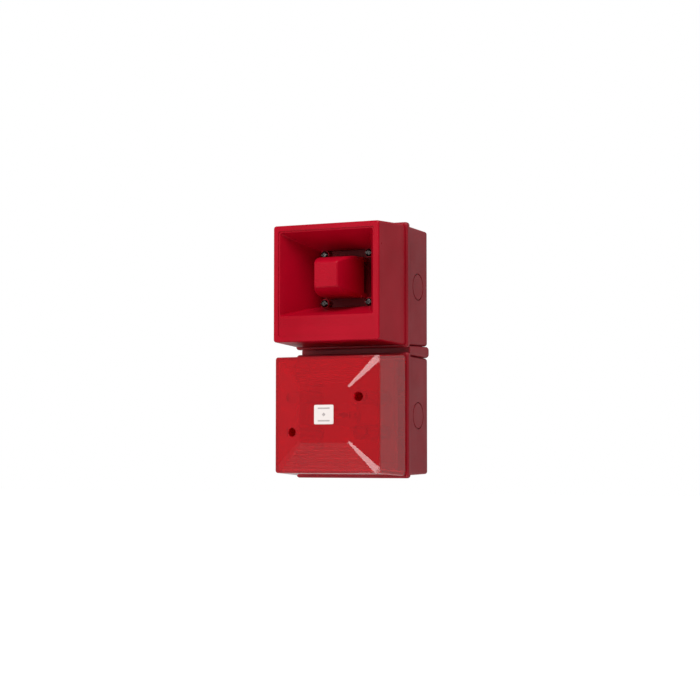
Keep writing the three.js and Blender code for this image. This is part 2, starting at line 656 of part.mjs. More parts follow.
function driverMagnet() {
  const shape = ring(MAGNET_DIAMETER, MAGNET_BORE, MAGNET_FRONT_Y, MAGNET_REAR_Y);
  return piece('driver_magnet', shape, finish(0x3a3a3c, 0.6, 0.3));
}

// Back plate of the magnet with the pole that stands inside the voice coil.
function driverYoke() {
  const pole = COIL_DIAMETER - 2 * COIL_WALL - 2 * RUN;
  const poleFront = TOP_PLATE_FRONT_Y + POLE_TIP_SHORTFALL;
  const shape = union(
    bar(MAGNET_DIAMETER - 2 * BOND, YOKE_FRONT_Y, YOKE_REAR_Y, 0, 0, ROUND_SIDES),
    bar(pole, poleFront, YOKE_REAR_Y - THROUGH, 0, 0, ROUND_SIDES),
  );
  return piece('driver_yoke', shape, zinc());
}

function driver() {
  const group = new THREE.Group();
  group.position.z = THROAT_RISE;
  group.add(driverPlate(), diaphragmSurround(), diaphragm(), voiceCoil(), driverFrame());
  group.add(driverTopPlate(), driverMagnet(), driverYoke());
  return group;
}

// ---- Screws ----
// A pan-head screw with a driving slot. Its head bears at seatY and its tip is at tipY.
function panScrew(name, seatY, tipY, { x, z }) {
  const headRear = seatY - FIT;
  const headFront = headRear - SCREW_HEAD_HEIGHT;
  const edge = SCREW_HEAD_HEIGHT / 3;
  const profile = [
    new THREE.Vector2(0, headFront),
    new THREE.Vector2(SCREW_HEAD_DIAMETER / 2 - edge, headFront),
    new THREE.Vector2(SCREW_HEAD_DIAMETER / 2, headFront + edge),
    new THREE.Vector2(SCREW_HEAD_DIAMETER / 2, headRear),
    new THREE.Vector2(SCREW_RADIUS, headRear),
    new THREE.Vector2(SCREW_RADIUS, tipY - SCREW_RADIUS),
    new THREE.Vector2(0, tipY),
  ];
  const slotHalf = SCREW_SLOT / 2;
  const slot = block(
    [-SCREW_HEAD_DIAMETER, SCREW_HEAD_DIAMETER],
    [headFront - THROUGH, headFront + SCREW_HEAD_HEIGHT / 2],
    [-slotHalf, slotHalf],
  );
  const shape = solid(new THREE.LatheGeometry(profile, SMALL_SIDES)).subtract(slot);
  const mesh = piece(name, shape, steel());
  mesh.position.set(x, 0, z);
  return mesh;
}

// ---- Circuit boards ----
// A board with clearance holes round the box's screw posts.
function circuitBoard(name, posts) {
  let shape = block([-PCB_HALF_X, PCB_HALF_X], [PCB_FRONT_Y, PCB_REAR_Y], [-PCB_HALF_Z, PCB_HALF_Z]);
  posts.forEach(({ x, z }) => {
    const hole = bar(POST_DIAMETER + 2 * FIT, PCB_FRONT_Y - THROUGH, PCB_REAR_Y + THROUGH, x, z);
    shape = shape.subtract(hole);
  });
  return piece(name, shape, finish(BOARD_GREEN, 0.55));
}

// A terminal block on the board's edge. Its wires enter from the side that faces the other unit.
function terminalBlock(unit, facing) {
  const group = new THREE.Group();
  const front = PARTS_Y - TERMINAL_HEIGHT;
  const z = facing * TERMINAL_Z;
  const wireY = PARTS_Y - TERMINAL_HEIGHT / 3;
  let body = block(
    [-TERMINAL_WIDTH / 2, TERMINAL_WIDTH / 2],
    [front, PARTS_Y],
    [z - TERMINAL_DEPTH / 2, z + TERMINAL_DEPTH / 2],
  );
  for (let way = 0; way < TERMINAL_WAYS; way += 1) {
    const x = (way + 0.5) * TERMINAL_PITCH - TERMINAL_WIDTH / 2;
    const hole = TERMINAL_SCREW_DIAMETER + 2 * FIT;
    const screwRear = front + TERMINAL_SCREW_LENGTH;
    const wireZ = z + facing * (TERMINAL_DEPTH / 2);
    body = cut(
      body,
      bar(hole, front - THROUGH, screwRear, x, z),
      crossBar(WIRE_HOLE, TERMINAL_DEPTH, 'z', x, wireY, wireZ, SMALL_SIDES / 2),
    );
    const slot = block(
      [x - TERMINAL_SCREW_DIAMETER, x + TERMINAL_SCREW_DIAMETER],
      [front - THROUGH, front + 2 * FIT],
      [z - SCREW_SLOT / 2, z + SCREW_SLOT / 2],
    );
    const screw = bar(TERMINAL_SCREW_DIAMETER, front + FIT, screwRear - FIT, x, z);
    group.add(piece(`${unit}_terminal_screw_${way + 1}`, screw.subtract(slot), zinc()));
  }
  group.add(piece(`${unit}_terminal_block`, body, finish(TERMINAL_GREEN, 0.5)));
  return group;
}

// Tone switch: a body with a row of small sliders in it. Each slider rests at the lower end.
function toneSwitch() {
  const group = new THREE.Group();
  const front = PARTS_Y - SWITCH_HEIGHT;
  const slotRear = front + SLIDER_DEPTH + RUN;
  const slotHalf = (SLIDER_LENGTH + SLIDER_TRAVEL) / 2 + FIT;
  let body = block(
    [SWITCH_X - SWITCH_WIDTH / 2, SWITCH_X + SWITCH_WIDTH / 2],
    [front, PARTS_Y],
    [SWITCH_Z - SWITCH_DEPTH / 2, SWITCH_Z + SWITCH_DEPTH / 2],
  );
  for (let index = 0; index < SWITCH_COUNT; index += 1) {
    const x = SWITCH_X + (index - (SWITCH_COUNT - 1) / 2) * SWITCH_PITCH;
    const slotX = SLIDER_WIDTH / 2 + FIT;
    body = body.subtract(block(
      [x - slotX, x + slotX],
      [front - THROUGH, slotRear],
      [SWITCH_Z - slotHalf, SWITCH_Z + slotHalf],
    ));
    const low = SWITCH_Z - slotHalf + FIT;
    const slider = block(
      [x - SLIDER_WIDTH / 2, x + SLIDER_WIDTH / 2],
      [front - SLIDER_PROUD, front + SLIDER_DEPTH],
      [low, low + SLIDER_LENGTH],
    );
    group.add(piece(`tone_slider_${index + 1}`, slider, finish(WHITE, 0.5)));
  }
  group.add(piece('tone_switch_body', body, finish(0x2b4b8f, 0.45)));
  return group;
}

// Volume trimmer: a square body with a slotted rotor that turns about Y.
function volumeTrimmer() {
  const group = new THREE.Group();
  const front = PARTS_Y - TRIMMER_HEIGHT;
  const half = TRIMMER_SIZE / 2;
  const rotorRear = front + ROTOR_DEPTH;
  group.position.set(TRIMMER_X, 0, SWITCH_Z);
  const body = block([-half, half], [front, PARTS_Y], [-half, half])
    .subtract(bar(ROTOR_DIAMETER + 2 * FIT, front - THROUGH, rotorRear + FIT, 0, 0, ROUND_SIDES));
  const slot = block(
    [-ROTOR_DIAMETER, ROTOR_DIAMETER],
    [front - THROUGH, front + ROTOR_PROUD],
    [-ROTOR_SLOT / 2, ROTOR_SLOT / 2],
  );
  const rotor = bar(ROTOR_DIAMETER, front - ROTOR_PROUD, rotorRear, 0, 0, ROUND_SIDES);
  group.add(piece('volume_trimmer_body', body, blackPlastic()));
  group.add(piece('volume_trimmer_rotor', rotor.subtract(slot), finish(WHITE, 0.5)));
  return group;
}

// A can or coil that stands on the board.
function standingPart(name, diameter, height, x, z, material) {
  return piece(name, bar(diameter, PARTS_Y - height, PARTS_Y, x, z, ROUND_SIDES), material);
}

function sounderBoardParts() {
  const group = new THREE.Group();
  const half = TONE_CHIP_SIZE / 2;
  const capacitor = SOUNDER_CAPACITOR;
  const inductor = SOUNDER_INDUCTOR;
  const chip = block(
    [-half, half],
    [PARTS_Y - TONE_CHIP_HEIGHT, PARTS_Y],
    [THROAT_RISE - half, THROAT_RISE + half],
  );
  group.add(
    circuitBoard('sounder_pcb', HORN_SCREWS),
    terminalBlock('sounder', -1),
    toneSwitch(),
    volumeTrimmer(),
    piece('tone_chip', chip, blackPlastic()),
    standingPart(
      'sounder_capacitor',
      capacitor.diameter,
      capacitor.height,
      -PCB_HALF_X + EDGE_MARGIN + capacitor.diameter / 2,
      THROAT_RISE,
      finish(0x22304f, 0.4),
    ),
    standingPart(
      'sounder_inductor',
      inductor.diameter,
      inductor.height,
      PCB_HALF_X - EDGE_MARGIN - inductor.diameter / 2,
      THROAT_RISE,
      finish(COPPER, 0.5, 0.6),
    ),
  );
  return group;
}

// ---- Lens ----
// Outer or inner form of the lens: a raised flat, four sloping facets and slightly drafted sides.
function lensForm(wall, rearY) {
  return loft([
    square(rearY, COVER_REAR_HALF - wall),
    square(LENS_CORNER_Y + EDGE_RADIUS / 2 + wall, LENS_FRONT_HALF - wall),
    square(LENS_CORNER_Y + wall, LENS_FRONT_HALF - EDGE_RADIUS / 2 - wall),
    square(LENS_FLAT_Y + wall, LENS_FLAT / 2, EDGE_RADIUS / 2),
  ]);
}

function beaconLens() {
  const outside = union(
    lensForm(0, COVER_REAR_Y),
    loft([square(NECK_REAR_Y, NECK_HALF), square(COVER_REAR_Y - THROUGH, NECK_HALF)]),
  );
  const inside = union(
    lensForm(LENS_WALL, COVER_REAR_Y),
    loft([
      square(NECK_REAR_Y + THROUGH, NECK_INNER_HALF),
      square(COVER_REAR_Y - THROUGH, NECK_INNER_HALF),
    ]),
  );
  let shape = cut(outside, inside);
  WELLS.forEach(({ x, z }) => {
    const pillar = bar(WELL_DIAMETER, LENS_FLAT_Y, WELL_REAR_Y, x, z, ROUND_SIDES);
    shape = shape.add(pillar.intersect(lensForm(0, COVER_REAR_Y + LENS_WALL)));
  });
  WELLS.forEach((well) => {
    const { x, z } = well;
    const open = LENS_SCREWS.includes(well);
    const front = open ? LENS_FLAT_Y - THROUGH : LENS_CORNER_Y + LENS_WALL;
    const rear = open ? WELL_REAR_Y - WELL_FLOOR : WELL_REAR_Y + THROUGH;
    shape = shape.subtract(bar(WELL_BORE, front, rear, x, z, ROUND_SIDES));
  });
  LENS_SCREWS.forEach(({ x, z }) => {
    const rear = WELL_REAR_Y + THROUGH;
    shape = shape.subtract(bar(2 * SCREW_HOLE_RADIUS, rear - WELL_FLOOR - 2 * THROUGH, rear, x, z));
  });
  return piece('beacon_lens', shape, redGlass());
}

// A plain blank label on the lens's raised flat.
function lensLabel() {
  const rear = LENS_FLAT_Y - BOND;
  const size = { x: LABEL_WIDTH / 2, z: LABEL_HEIGHT / 2, r: LABEL_RADIUS };
  const shape = loft([{ y: rear, ...size }, { y: rear - LABEL_THICKNESS, ...size }]);
  return piece('lens_label', shape, finish(WHITE, 0.6));
}

// ---- Beacon chassis ----
// A white tray behind the lens with a hole for the lamp tower and holes round the screws.
function reflector() {
  const floor = REFLECTOR_HALF - REFLECTOR_FLOOR_INSET;
  const rimY = REFLECTOR_FRONT_Y - REFLECTOR_RIM_HEIGHT;
  const thickness = REFLECTOR_THICKNESS;
  const outside = loft([square(REFLECTOR_REAR_Y, floor), square(rimY, REFLECTOR_HALF)]);
  const inside = loft([
    square(REFLECTOR_FRONT_Y, floor - thickness / 2),
    square(rimY - THROUGH, REFLECTOR_HALF - thickness / 2),
  ]);
  const tower = TOWER_DIAMETER + 2 * FIT;
  let shape = cut(outside, inside);
  shape = cut(
    shape,
    bar(tower, REFLECTOR_FRONT_Y - THROUGH, REFLECTOR_REAR_Y + THROUGH, 0, 0, ROUND_SIDES),
  );
  LENS_SCREWS.forEach(({ x, z }) => {
    const hole = 2 * SCREW_HOLE_RADIUS;
    shape = shape.subtract(bar(hole, REFLECTOR_FRONT_Y - THROUGH, REFLECTOR_REAR_Y + THROUGH, x, z));
  });
  return piece('reflector', shape, finish(WHITE, 0.5));
}

// Plastic tower from the board to the flash tube's two legs.
function lampTower() {
  const top = REFLECTOR_FRONT_Y - TOWER_SPIGOT;
  let shape = bar(TOWER_DIAMETER, top, PARTS_Y, 0, 0, ROUND_SIDES);
  [-1, 1].forEach((side) => {
    const x = side * (TUBE_SPREAD / 2);
    const socket = bar(TUBE_DIAMETER + 2 * FIT, top - THROUGH, top + TUBE_SOCKET + FIT, x, 0);
    shape = shape.subtract(socket);
  });
  return piece('lamp_tower', shape, finish(WHITE, 0.6));
}

// Glass tube bent into a U, with both ends in the tower.
function flashTube() {
  const top = REFLECTOR_FRONT_Y - TOWER_SPIGOT;
  const rear = top + TUBE_SOCKET;
  const bend = top - TUBE_LEG;
  const half = TUBE_SPREAD / 2;
  const path = new THREE.CurvePath();
  const middle = new THREE.Vector3(0, bend - half, 0);
  const left = new THREE.Vector3(-half, bend, 0);
  const right = new THREE.Vector3(half, bend, 0);
  const handle = (x, y) => new THREE.Vector3(x, y, 0);
  const pull = half * QUARTER_HANDLE;
  path.add(new THREE.LineCurve3(handle(-half, rear), left));
  path.add(new THREE.CubicBezierCurve3(left, handle(-half, bend - pull), handle(-pull, middle.y), middle));
  path.add(new THREE.CubicBezierCurve3(middle, handle(pull, middle.y), handle(half, bend - pull), right));
  path.add(new THREE.LineCurve3(right, handle(half, rear)));
  const section = new THREE.Shape();
  section.absarc(0, 0, TUBE_DIAMETER / 2, 0, 2 * Math.PI);
  const shape = solid(new THREE.ExtrudeGeometry(section, {
    extrudePath: path,
    steps: TUBE_STEPS,
    curveSegments: CABLE_SIDES / 2,
  }));
  return piece('flash_tube', shape, finish(0xf5f5f5, 0.05));
}

function beaconBoardParts() {
  const group = new THREE.Group();
  const capacitor = FLASH_CAPACITOR;
  const core = FLASH_TRANSFORMER;
  const coil = TRIGGER_COIL;
  const canY = PARTS_Y - capacitor.diameter / 2;
  const can = crossBar(capacitor.diameter, capacitor.length, 'x', 0, canY, capacitor.z);
  const coreX = TERMINAL_WIDTH / 2 + core.gap;
  const coreTop = PCB_HALF_Z - EDGE_MARGIN;
  const coilX = -(TERMINAL_WIDTH / 2 + coil.gap + coil.diameter / 2);
  const transformer = block(
    [coreX, coreX + core.width],
    [PARTS_Y - core.height, PARTS_Y],
    [coreTop - core.depth, coreTop],
  );
  group.add(
    circuitBoard('beacon_pcb', WELLS),
    terminalBlock('beacon', 1),
    piece('flash_capacitor', can, finish(0x22304f, 0.4)),
    piece('flash_transformer', transformer, finish(0xcaa23c, 0.6)),
    standingPart('trigger_coil', coil.diameter, coil.height, coilX, TERMINAL_Z, finish(COPPER, 0.5, 0.6)),
    lampTower(),
    flashTube(),
  );
  return group;
}

// ---- Coupler ----
// Filler block between the boxes, with a threaded nipple that reaches into each of them.
function coupler() {
  const rearHalf = UNIT_PITCH / 2 - BOX_REAR_HALF - FIT;
  const frontHalf = UNIT_PITCH / 2 - BOX_FRONT_HALF - FIT;
  const halfX = BOX_REAR_HALF + COUPLER_OVERHANG;
  const front = FLANGE_REAR_Y + FIT;
  const filler = loft([
    { y: 0, x: halfX, z: rearHalf, r: COUPLER_RADIUS },
    { y: front, x: halfX, z: frontHalf, r: COUPLER_RADIUS },
  ]);
  const reach = UNIT_PITCH / 2 - BOX_INNER_HALF + NIPPLE_REACH;
  const nipple = crossBar(NIPPLE_DIAMETER, 2 * reach, 'z', 0, -ENTRY_DEPTH, 0);
  const bore = crossBar(NIPPLE_BORE, 2 * reach + THROUGH, 'z', 0, -ENTRY_DEPTH, 0);
  return piece('coupler', cut(union(filler, nipple), bore), boxRed());
}

// Hexagonal locknut on one end of the nipple.
function couplerLocknut(name, side) {
  const across = LOCKNUT_ACROSS_FLATS / Math.cos(Math.PI / 6);
  const wall = UNIT_PITCH / 2 - BOX_INNER_HALF;
  const z = side * (wall + FIT + LOCKNUT_THICKNESS / 2);
  const bore = NIPPLE_DIAMETER + 2 * FIT;
  const nut = crossBar(across, LOCKNUT_THICKNESS, 'z', 0, -ENTRY_DEPTH, z, 6);
  const hole = crossBar(bore, LOCKNUT_THICKNESS + THROUGH, 'z', 0, -ENTRY_DEPTH, z);
  return piece(name, cut(nut, hole), blackPlastic());
}

// Sheathed cable through the coupler's bore, from one terminal block to the other.
function linkCable() {
  const end = UNIT_PITCH / 2 - TERMINAL_Z - TERMINAL_DEPTH / 2 - RUN;
  const endY = PARTS_Y - TERMINAL_HEIGHT / 2;
  const route = new THREE.CatmullRomCurve3([
    new THREE.Vector3(0, endY, end),
    new THREE.Vector3(0, endY, end - CABLE_LEAD),
    new THREE.Vector3(CABLE_BOW, -ENTRY_DEPTH, end / 2),
    new THREE.Vector3(0, -ENTRY_DEPTH, 0),
    new THREE.Vector3(-CABLE_BOW, -ENTRY_DEPTH, -end / 2),
    new THREE.Vector3(0, endY, CABLE_LEAD - end),
    new THREE.Vector3(0, endY, -end),
  ]);
  const section = new THREE.Shape();
  section.absarc(0, 0, CABLE_DIAMETER / 2, 0, 2 * Math.PI);
  const shape = solid(new THREE.ExtrudeGeometry(section, {
    extrudePath: route,
    steps: CABLE_STEPS,
    curveSegments: CABLE_SIDES / 2,
  }));
  return piece('link_cable', shape, finish(0xd9d6d0, 0.6));
}

// ---- Assembly ----
function sounder() {
  const group = new THREE.Group();
  group.position.z = UNIT_PITCH / 2;
  group.add(
    backBox('sounder_back_box', -1, HORN_SCREWS, HORN_POST_Y),
    gasket('sounder_gasket'),
    hornHousing(),
    hornPlug(),
    driver(),
    sounderBoardParts(),
  );
  HORN_SCREWS.forEach((place, index) => {
    group.add(panScrew(`horn_screw_${index + 1}`, FLARE_END_Y, HORN_POST_Y + SCREW_BITE, place));
  });
  return group;
}

function beacon() {
  const group = new THREE.Group();
  group.position.z = -UNIT_PITCH / 2;
  group.add(
    backBox('beacon_back_box', 1, WELLS, LENS_POST_Y),
    gasket('beacon_gasket'),
    beaconLens(),
    lensLabel(),
    reflector(),
    beaconBoardParts(),
  );
  LENS_SCREWS.forEach((place, index) => {
    const seat = WELL_REAR_Y - WELL_FLOOR;
    group.add(panScrew(`lens_screw_${index + 1}`, seat, LENS_POST_Y + SCREW_BITE, place));
  });
  return group;
}

function joining() {
  const group = new THREE.Group();
  group.add(
    coupler(),
    couplerLocknut('coupler_locknut_upper', 1),
    couplerLocknut('coupler_locknut_lower', -1),
    linkCable(),
  );
  return group;
}

const group = new THREE.Group();
group.add(sounder(), beacon(), joining());

export default group;
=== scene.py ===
"""Horn strobe: a sounder above a beacon, each on its own back box, joined by a coupler.

Metres, +Z up, front towards -Y. The pieces are built in the order in which they go together.
"""
import math

import bpy
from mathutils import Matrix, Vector


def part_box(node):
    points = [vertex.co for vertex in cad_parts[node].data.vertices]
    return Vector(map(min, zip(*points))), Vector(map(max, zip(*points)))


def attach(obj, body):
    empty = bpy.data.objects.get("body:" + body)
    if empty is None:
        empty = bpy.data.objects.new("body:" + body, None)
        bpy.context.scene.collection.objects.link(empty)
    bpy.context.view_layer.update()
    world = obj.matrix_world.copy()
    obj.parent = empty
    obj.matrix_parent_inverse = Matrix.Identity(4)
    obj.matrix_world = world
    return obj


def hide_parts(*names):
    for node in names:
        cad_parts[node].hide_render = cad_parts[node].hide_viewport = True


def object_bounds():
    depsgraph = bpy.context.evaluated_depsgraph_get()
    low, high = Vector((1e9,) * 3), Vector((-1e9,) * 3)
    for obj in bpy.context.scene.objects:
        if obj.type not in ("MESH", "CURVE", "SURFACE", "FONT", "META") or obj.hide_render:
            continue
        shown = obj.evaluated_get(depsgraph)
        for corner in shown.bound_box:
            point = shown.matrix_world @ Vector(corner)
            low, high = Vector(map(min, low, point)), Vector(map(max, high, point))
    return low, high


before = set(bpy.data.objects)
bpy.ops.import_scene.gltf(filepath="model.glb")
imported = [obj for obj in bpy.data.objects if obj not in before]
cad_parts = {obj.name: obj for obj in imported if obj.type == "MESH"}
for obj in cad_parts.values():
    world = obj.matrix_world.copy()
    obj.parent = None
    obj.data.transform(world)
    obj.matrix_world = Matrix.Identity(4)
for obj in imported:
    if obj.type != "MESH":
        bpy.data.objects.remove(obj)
cad_low, cad_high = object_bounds()

# ---- Studio ----
# A plain pale floor well below the wall-mounted unit, and white surroundings. A large soft light
# hangs above the front, weaker ones stand at the left and behind the right side, and a tall narrow
# strip in front draws a line of light along the lens's hips.
MM = 0.001

VIEW_TARGET = Vector((0.0024, -0.0536, 0.0005))
VIEW_DISTANCE = 1.481
VIEW_AZIMUTH = math.radians(25.9)
VIEW_ELEVATION = math.radians(-3.27)
LENS_LENGTH = 93.2

FLOOR_SIZE = 60
FLOOR_DROP = 0.75
FLOOR_WHITE = (0.9, 0.9, 0.9, 1)
WHITE_LIGHT = (1, 1, 1, 1)
FLOOR_GLOW = 0.8
FLOOR_BOUNCE = 0.155
SEEN_WHITE = 1.0
AMBIENT = 0.31
LIGHT_DISTANCE = 1.7


def direction(azimuth, elevation):
    """The direction from the object towards a place at this azimuth and elevation."""
    across = math.cos(elevation)
    return Vector((math.sin(azimuth) * across, -math.cos(azimuth) * across, math.sin(elevation)))


def face_target(item, place):
    """Puts a light or the camera at a place and turns it towards the object."""
    item.location = place
    item.rotation_mode = "QUATERNION"
    item.rotation_quaternion = (VIEW_TARGET - place).to_track_quat("-Z", "Y")


def soft_light(name, azimuth, elevation, width, height, watts):
    """A rectangular studio light that faces the object."""
    lamp = bpy.data.lights.new(name, "AREA")
    lamp.shape = "RECTANGLE"
    lamp.size = width
    lamp.size_y = height
    lamp.energy = watts
    item = bpy.data.objects.new(name, lamp)
    bpy.context.scene.collection.objects.link(item)
    towards = direction(math.radians(azimuth), math.radians(elevation))
    face_target(item, VIEW_TARGET + LIGHT_DISTANCE * towards)


def by_eye(tree, lit, seen, socket):
    """Gives a socket one value for light that falls on the object and another for what is seen."""
    ray = tree.nodes.new("ShaderNodeLightPath")
    level = tree.nodes.new("ShaderNodeMapRange")
    level.inputs["To Min"].default_value = lit
    level.inputs["To Max"].default_value = seen
    tree.links.new(ray.outputs["Is Camera Ray"], level.inputs["Value"])
    tree.links.new(level.outputs["Result"], socket)


camera = bpy.data.objects.new("camera", bpy.data.cameras.new("camera"))
bpy.context.scene.collection.objects.link(camera)
camera.data.lens = LENS_LENGTH
face_target(camera, VIEW_TARGET + VIEW_DISTANCE * direction(VIEW_AZIMUTH, VIEW_ELEVATION))
bpy.context.scene.camera = camera

soft_light("key_light", azimuth=14, elevation=52, width=1.0, height=1.0, watts=22)
soft_light("left_light", azimuth=-72, elevation=8, width=0.8, height=1.4, watts=6)
soft_light("strip_light", azimuth=-13, elevation=0, width=0.2, height=1.4, watts=6)
soft_light("side_light", azimuth=150, elevation=8, width=0.9, height=1.2, watts=0.8)

world = bpy.data.worlds.new("white_surroundings")
bpy.context.scene.world = world
world.use_nodes = True
sky = world.node_tree.nodes["Background"]
sky.inputs["Color"].default_value = WHITE_LIGHT
by_eye(world.node_tree, AMBIENT, SEEN_WHITE, sky.inputs["Strength"])
bpy.context.scene.view_settings.view_transform = "Standard"

bpy.ops.mesh.primitive_plane_add(size=FLOOR_SIZE, location=(0, 0, cad_low.z - FLOOR_DROP))
floor = bpy.context.object
floor.name = "floor"
floor_paint = bpy.data.materials.new("floor_paint")
floor_paint.use_nodes = True
paint = floor_paint.node_tree.nodes["Principled BSDF"]
paint.inputs["Base Color"].default_value = FLOOR_WHITE
paint.inputs["Roughness"].default_value = 1
paint.inputs["Emission Color"].default_value = WHITE_LIGHT
by_eye(floor_paint.node_tree, FLOOR_BOUNCE, FLOOR_GLOW, paint.inputs["Emission Strength"])
floor.data.materials.append(floor_paint)

# ---- Back boxes ----
# Two deep square boxes moulded in red flame-retardant plastic, screwed to the wall through four
# holes in the back. Each has a flange at its mouth, posts for the cover's screws and for the
# board, thinned rings in the sides for conduit, and one hole for the coupler.
PLASTIC_SHEEN = 0.26
BOX_RED = (0.36, 0.008, 0.020)
BOX_RED_DEEP = (0.27, 0.004, 0.013)
# Paler red for dust on upward faces and for a painted highlight along the rounded edges.
BOX_RED_DUST_AND_HIGHLIGHT = (0.42, 0.06, 0.08)
GRAIN_RELIEF = 0.2 * MM
FINE_RELIEF = 0.05 * MM

CORNER_RADIUS = 2.2 * MM
CORNER_STEPS = 6
EDGE_RADIUS = 1.2 * MM
ARC_STEPS = 4
SHARP = math.radians(32)
FLAT = math.radians(0.2)
ROUND = 64
HOLE_SIDES = 32
BORE_SIDES = 24
EASE = 0.2 * MM
WIDE_EASE = 0.3 * MM
REST_GAP = 0.3 * MM

BOX_WALL = 2.5 * MM
BACK_WALL = 3 * MM
FLANGE_THICKNESS = 5 * MM
FLANGE_OVERHANG = 2.25 * MM
BOX_DRAFT = 0.75 * MM
KNOCKOUT_DIAMETER = 22.4 * MM
KNOCKOUT_GROOVE = 1 * MM
ENTRY_DEPTH = 20 * MM
WALL_SCREW_HOLE = 5 * MM
WALL_SCREW_INSET = 6 * MM
POST_DIAMETER = 8.4 * MM
POST_BORE = 4.1 * MM
POST_BORE_DEPTH = 9.5 * MM
BOARD_POST_DIAMETER = 5 * MM
COUPLER_HOLE = 20.2 * MM
BOX_EASE = 0.22 * MM
CUT_PAST = 1 * MM


def select_only(*pieces):
    """Selects these objects and no others, the first one active."""
    bpy.ops.object.select_all(action="DESELECT")
    for piece in pieces:
        piece.select_set(True)
    bpy.context.view_layer.objects.active = pieces[0]


def select_faces(piece, wanted):
    """Selects the faces of a piece in edit mode for which wanted(face) is true."""
    bpy.ops.mesh.select_all(action="DESELECT")
    bpy.ops.object.mode_set(mode="OBJECT")
    for face in piece.data.polygons:
        face.select = wanted(face)
    bpy.ops.object.mode_set(mode="EDIT")


def made_piece(name):
    """The object that was just added, named, with its place, turn and size put into its mesh."""
    bpy.ops.object.transform_apply(location=True, rotation=True, scale=True)
    piece = bpy.context.object
    piece.name = name
    return piece


def edit_faces():
    """Opens the active piece's mesh with all its faces selected."""
    bpy.ops.object.mode_set(mode="EDIT")
    bpy.ops.mesh.select_mode(type="FACE")
    bpy.ops.mesh.select_all(action="SELECT")


def draw(step):
    """Extrudes the selected faces by a step."""
    bpy.ops.mesh.extrude_region_move(TRANSFORM_OT_translate={"value": step})


def close_mesh():
    """Turns every face of the open mesh outwards and leaves it."""
    bpy.ops.mesh.select_all(action="SELECT")
    bpy.ops.mesh.normals_make_consistent(inside=False)
    bpy.ops.object.mode_set(mode="OBJECT")


def new_outline(name, y, half_x, half_z, z, radius, corner_steps=CORNER_STEPS):
    """A flat rounded rectangle that faces the front, left in edit mode with its face selected."""
    bpy.ops.mesh.primitive_plane_add(size=2, location=(0, y, z), rotation=(math.pi / 2, 0, 0))
    piece = made_piece(name)
    edit_faces()
    bpy.ops.transform.resize(value=(half_x, 1, half_z), center_override=(0, y, z))
    if radius:
        bpy.ops.mesh.bevel(offset=radius, segments=corner_steps, affect="VERTICES")
        bpy.ops.mesh.select_all(action="SELECT")
    return piece


def new_disc(name, y, radius, x, z, sides=ROUND):
    """A flat disc that faces the front, left in edit mode with its face selected."""
    bpy.ops.mesh.primitive_circle_add(
        vertices=sides, radius=radius, fill_type="NGON", location=(x, y, z), rotation=(math.pi / 2, 0, 0)
    )
    piece = made_piece(name)
    edit_faces()
    return piece


def draw_out(start, sections, x=0):
    """Extrudes the selected face from its first section through the others, then closes the piece.

    A section is (y, half width, half height, height of its middle).
    """
    y, half_x, half_z, z = start
    for next_y, next_x, next_z, next_middle in sections:
        draw((0, next_y - y, next_middle - z))
        y, z = next_y, next_middle
        scale = (next_x / half_x, 1, next_z / half_z)
        bpy.ops.transform.resize(value=scale, center_override=(x, y, z))
        half_x, half_z = next_x, next_z
    close_mesh()


def square_form(name, z, sections, radius=CORNER_RADIUS):
    """A closed form with square sections, each (y, half width)."""
    full = [(y, half, half, z) for y, half in sections]
    piece = new_outline(name, *full[0][:3], z, radius)
    draw_out(full[0], full[1:])
    return piece


def round_form(name, x, z, sections, sides=ROUND):
    """A closed turned form about a line along Y, each section (y, radius)."""
    full = [(y, radius, radius, z) for y, radius in sections]
    piece = new_disc(name, full[0][0], full[0][1], x, z, sides)
    draw_out(full[0], full[1:], x)
    return piece


def quarter(y, half, to_y, to_half, leave, steps=ARC_STEPS):
    """Sections along a quarter circle that leaves its first point along or across the Y axis."""
    points = []
    for step in range(steps + 1):
        turn = step / steps * math.pi / 2
        early, late = math.sin(turn), 1 - math.cos(turn)
        share_y, share_half = (early, late) if leave == "along" else (late, early)
        points.append((y + (to_y - y) * share_y, half + (to_half - half) * share_half))
    return points


def combine(piece, tool, how):
    """Joins a piece and a tool in the way that a boolean is named, and removes the tool."""
    select_only(piece)
    modifier = piece.modifiers.new(how.lower(), "BOOLEAN")
    modifier.operation = how
    modifier.solver = "MANIFOLD"
    modifier.object = tool
    bpy.ops.object.modifier_apply(modifier=modifier.name)
    bpy.data.objects.remove(tool)


def cut_away(piece, tool):
    combine(piece, tool, "DIFFERENCE")


def add_on(piece, tool):
    combine(piece, tool, "UNION")


def soften(piece, width, segments=2):
    """Rounds the sharp edges of a piece and shades what is left smooth."""
    select_only(piece)
    modifier = piece.modifiers.new("edges", "BEVEL")
    modifier.width = width
    modifier.segments = segments
    modifier.limit_method = "ANGLE"
    modifier.angle_limit = SHARP
    bpy.ops.object.modifier_apply(modifier=modifier.name)
    shade(piece, SHARP)


def shade(piece, angle):
    """Shades a piece smooth below an angle and keeps its flat faces flat."""
    select_only(piece)
    bpy.ops.object.mode_set(mode="EDIT")
    bpy.ops.mesh.select_all(action="SELECT")
    bpy.ops.mesh.dissolve_limited(angle_limit=FLAT, delimit={"NORMAL"})
    bpy.ops.object.mode_set(mode="OBJECT")
    bpy.ops.object.shade_smooth_by_angle(angle=angle)
    modifier = piece.modifiers.new("flat_faces", "WEIGHTED_NORMAL")
    modifier.keep_sharp = True
    modifier.weight = 100
    bpy.ops.object.modifier_apply(modifier=modifier.name)


def corners_of(x, z, middle):
    """The four places at plus and minus x and z, anticlockwise from the upper right."""
    return [(x, middle + z), (-x, middle + z), (-x, middle - z), (x, middle - z)]


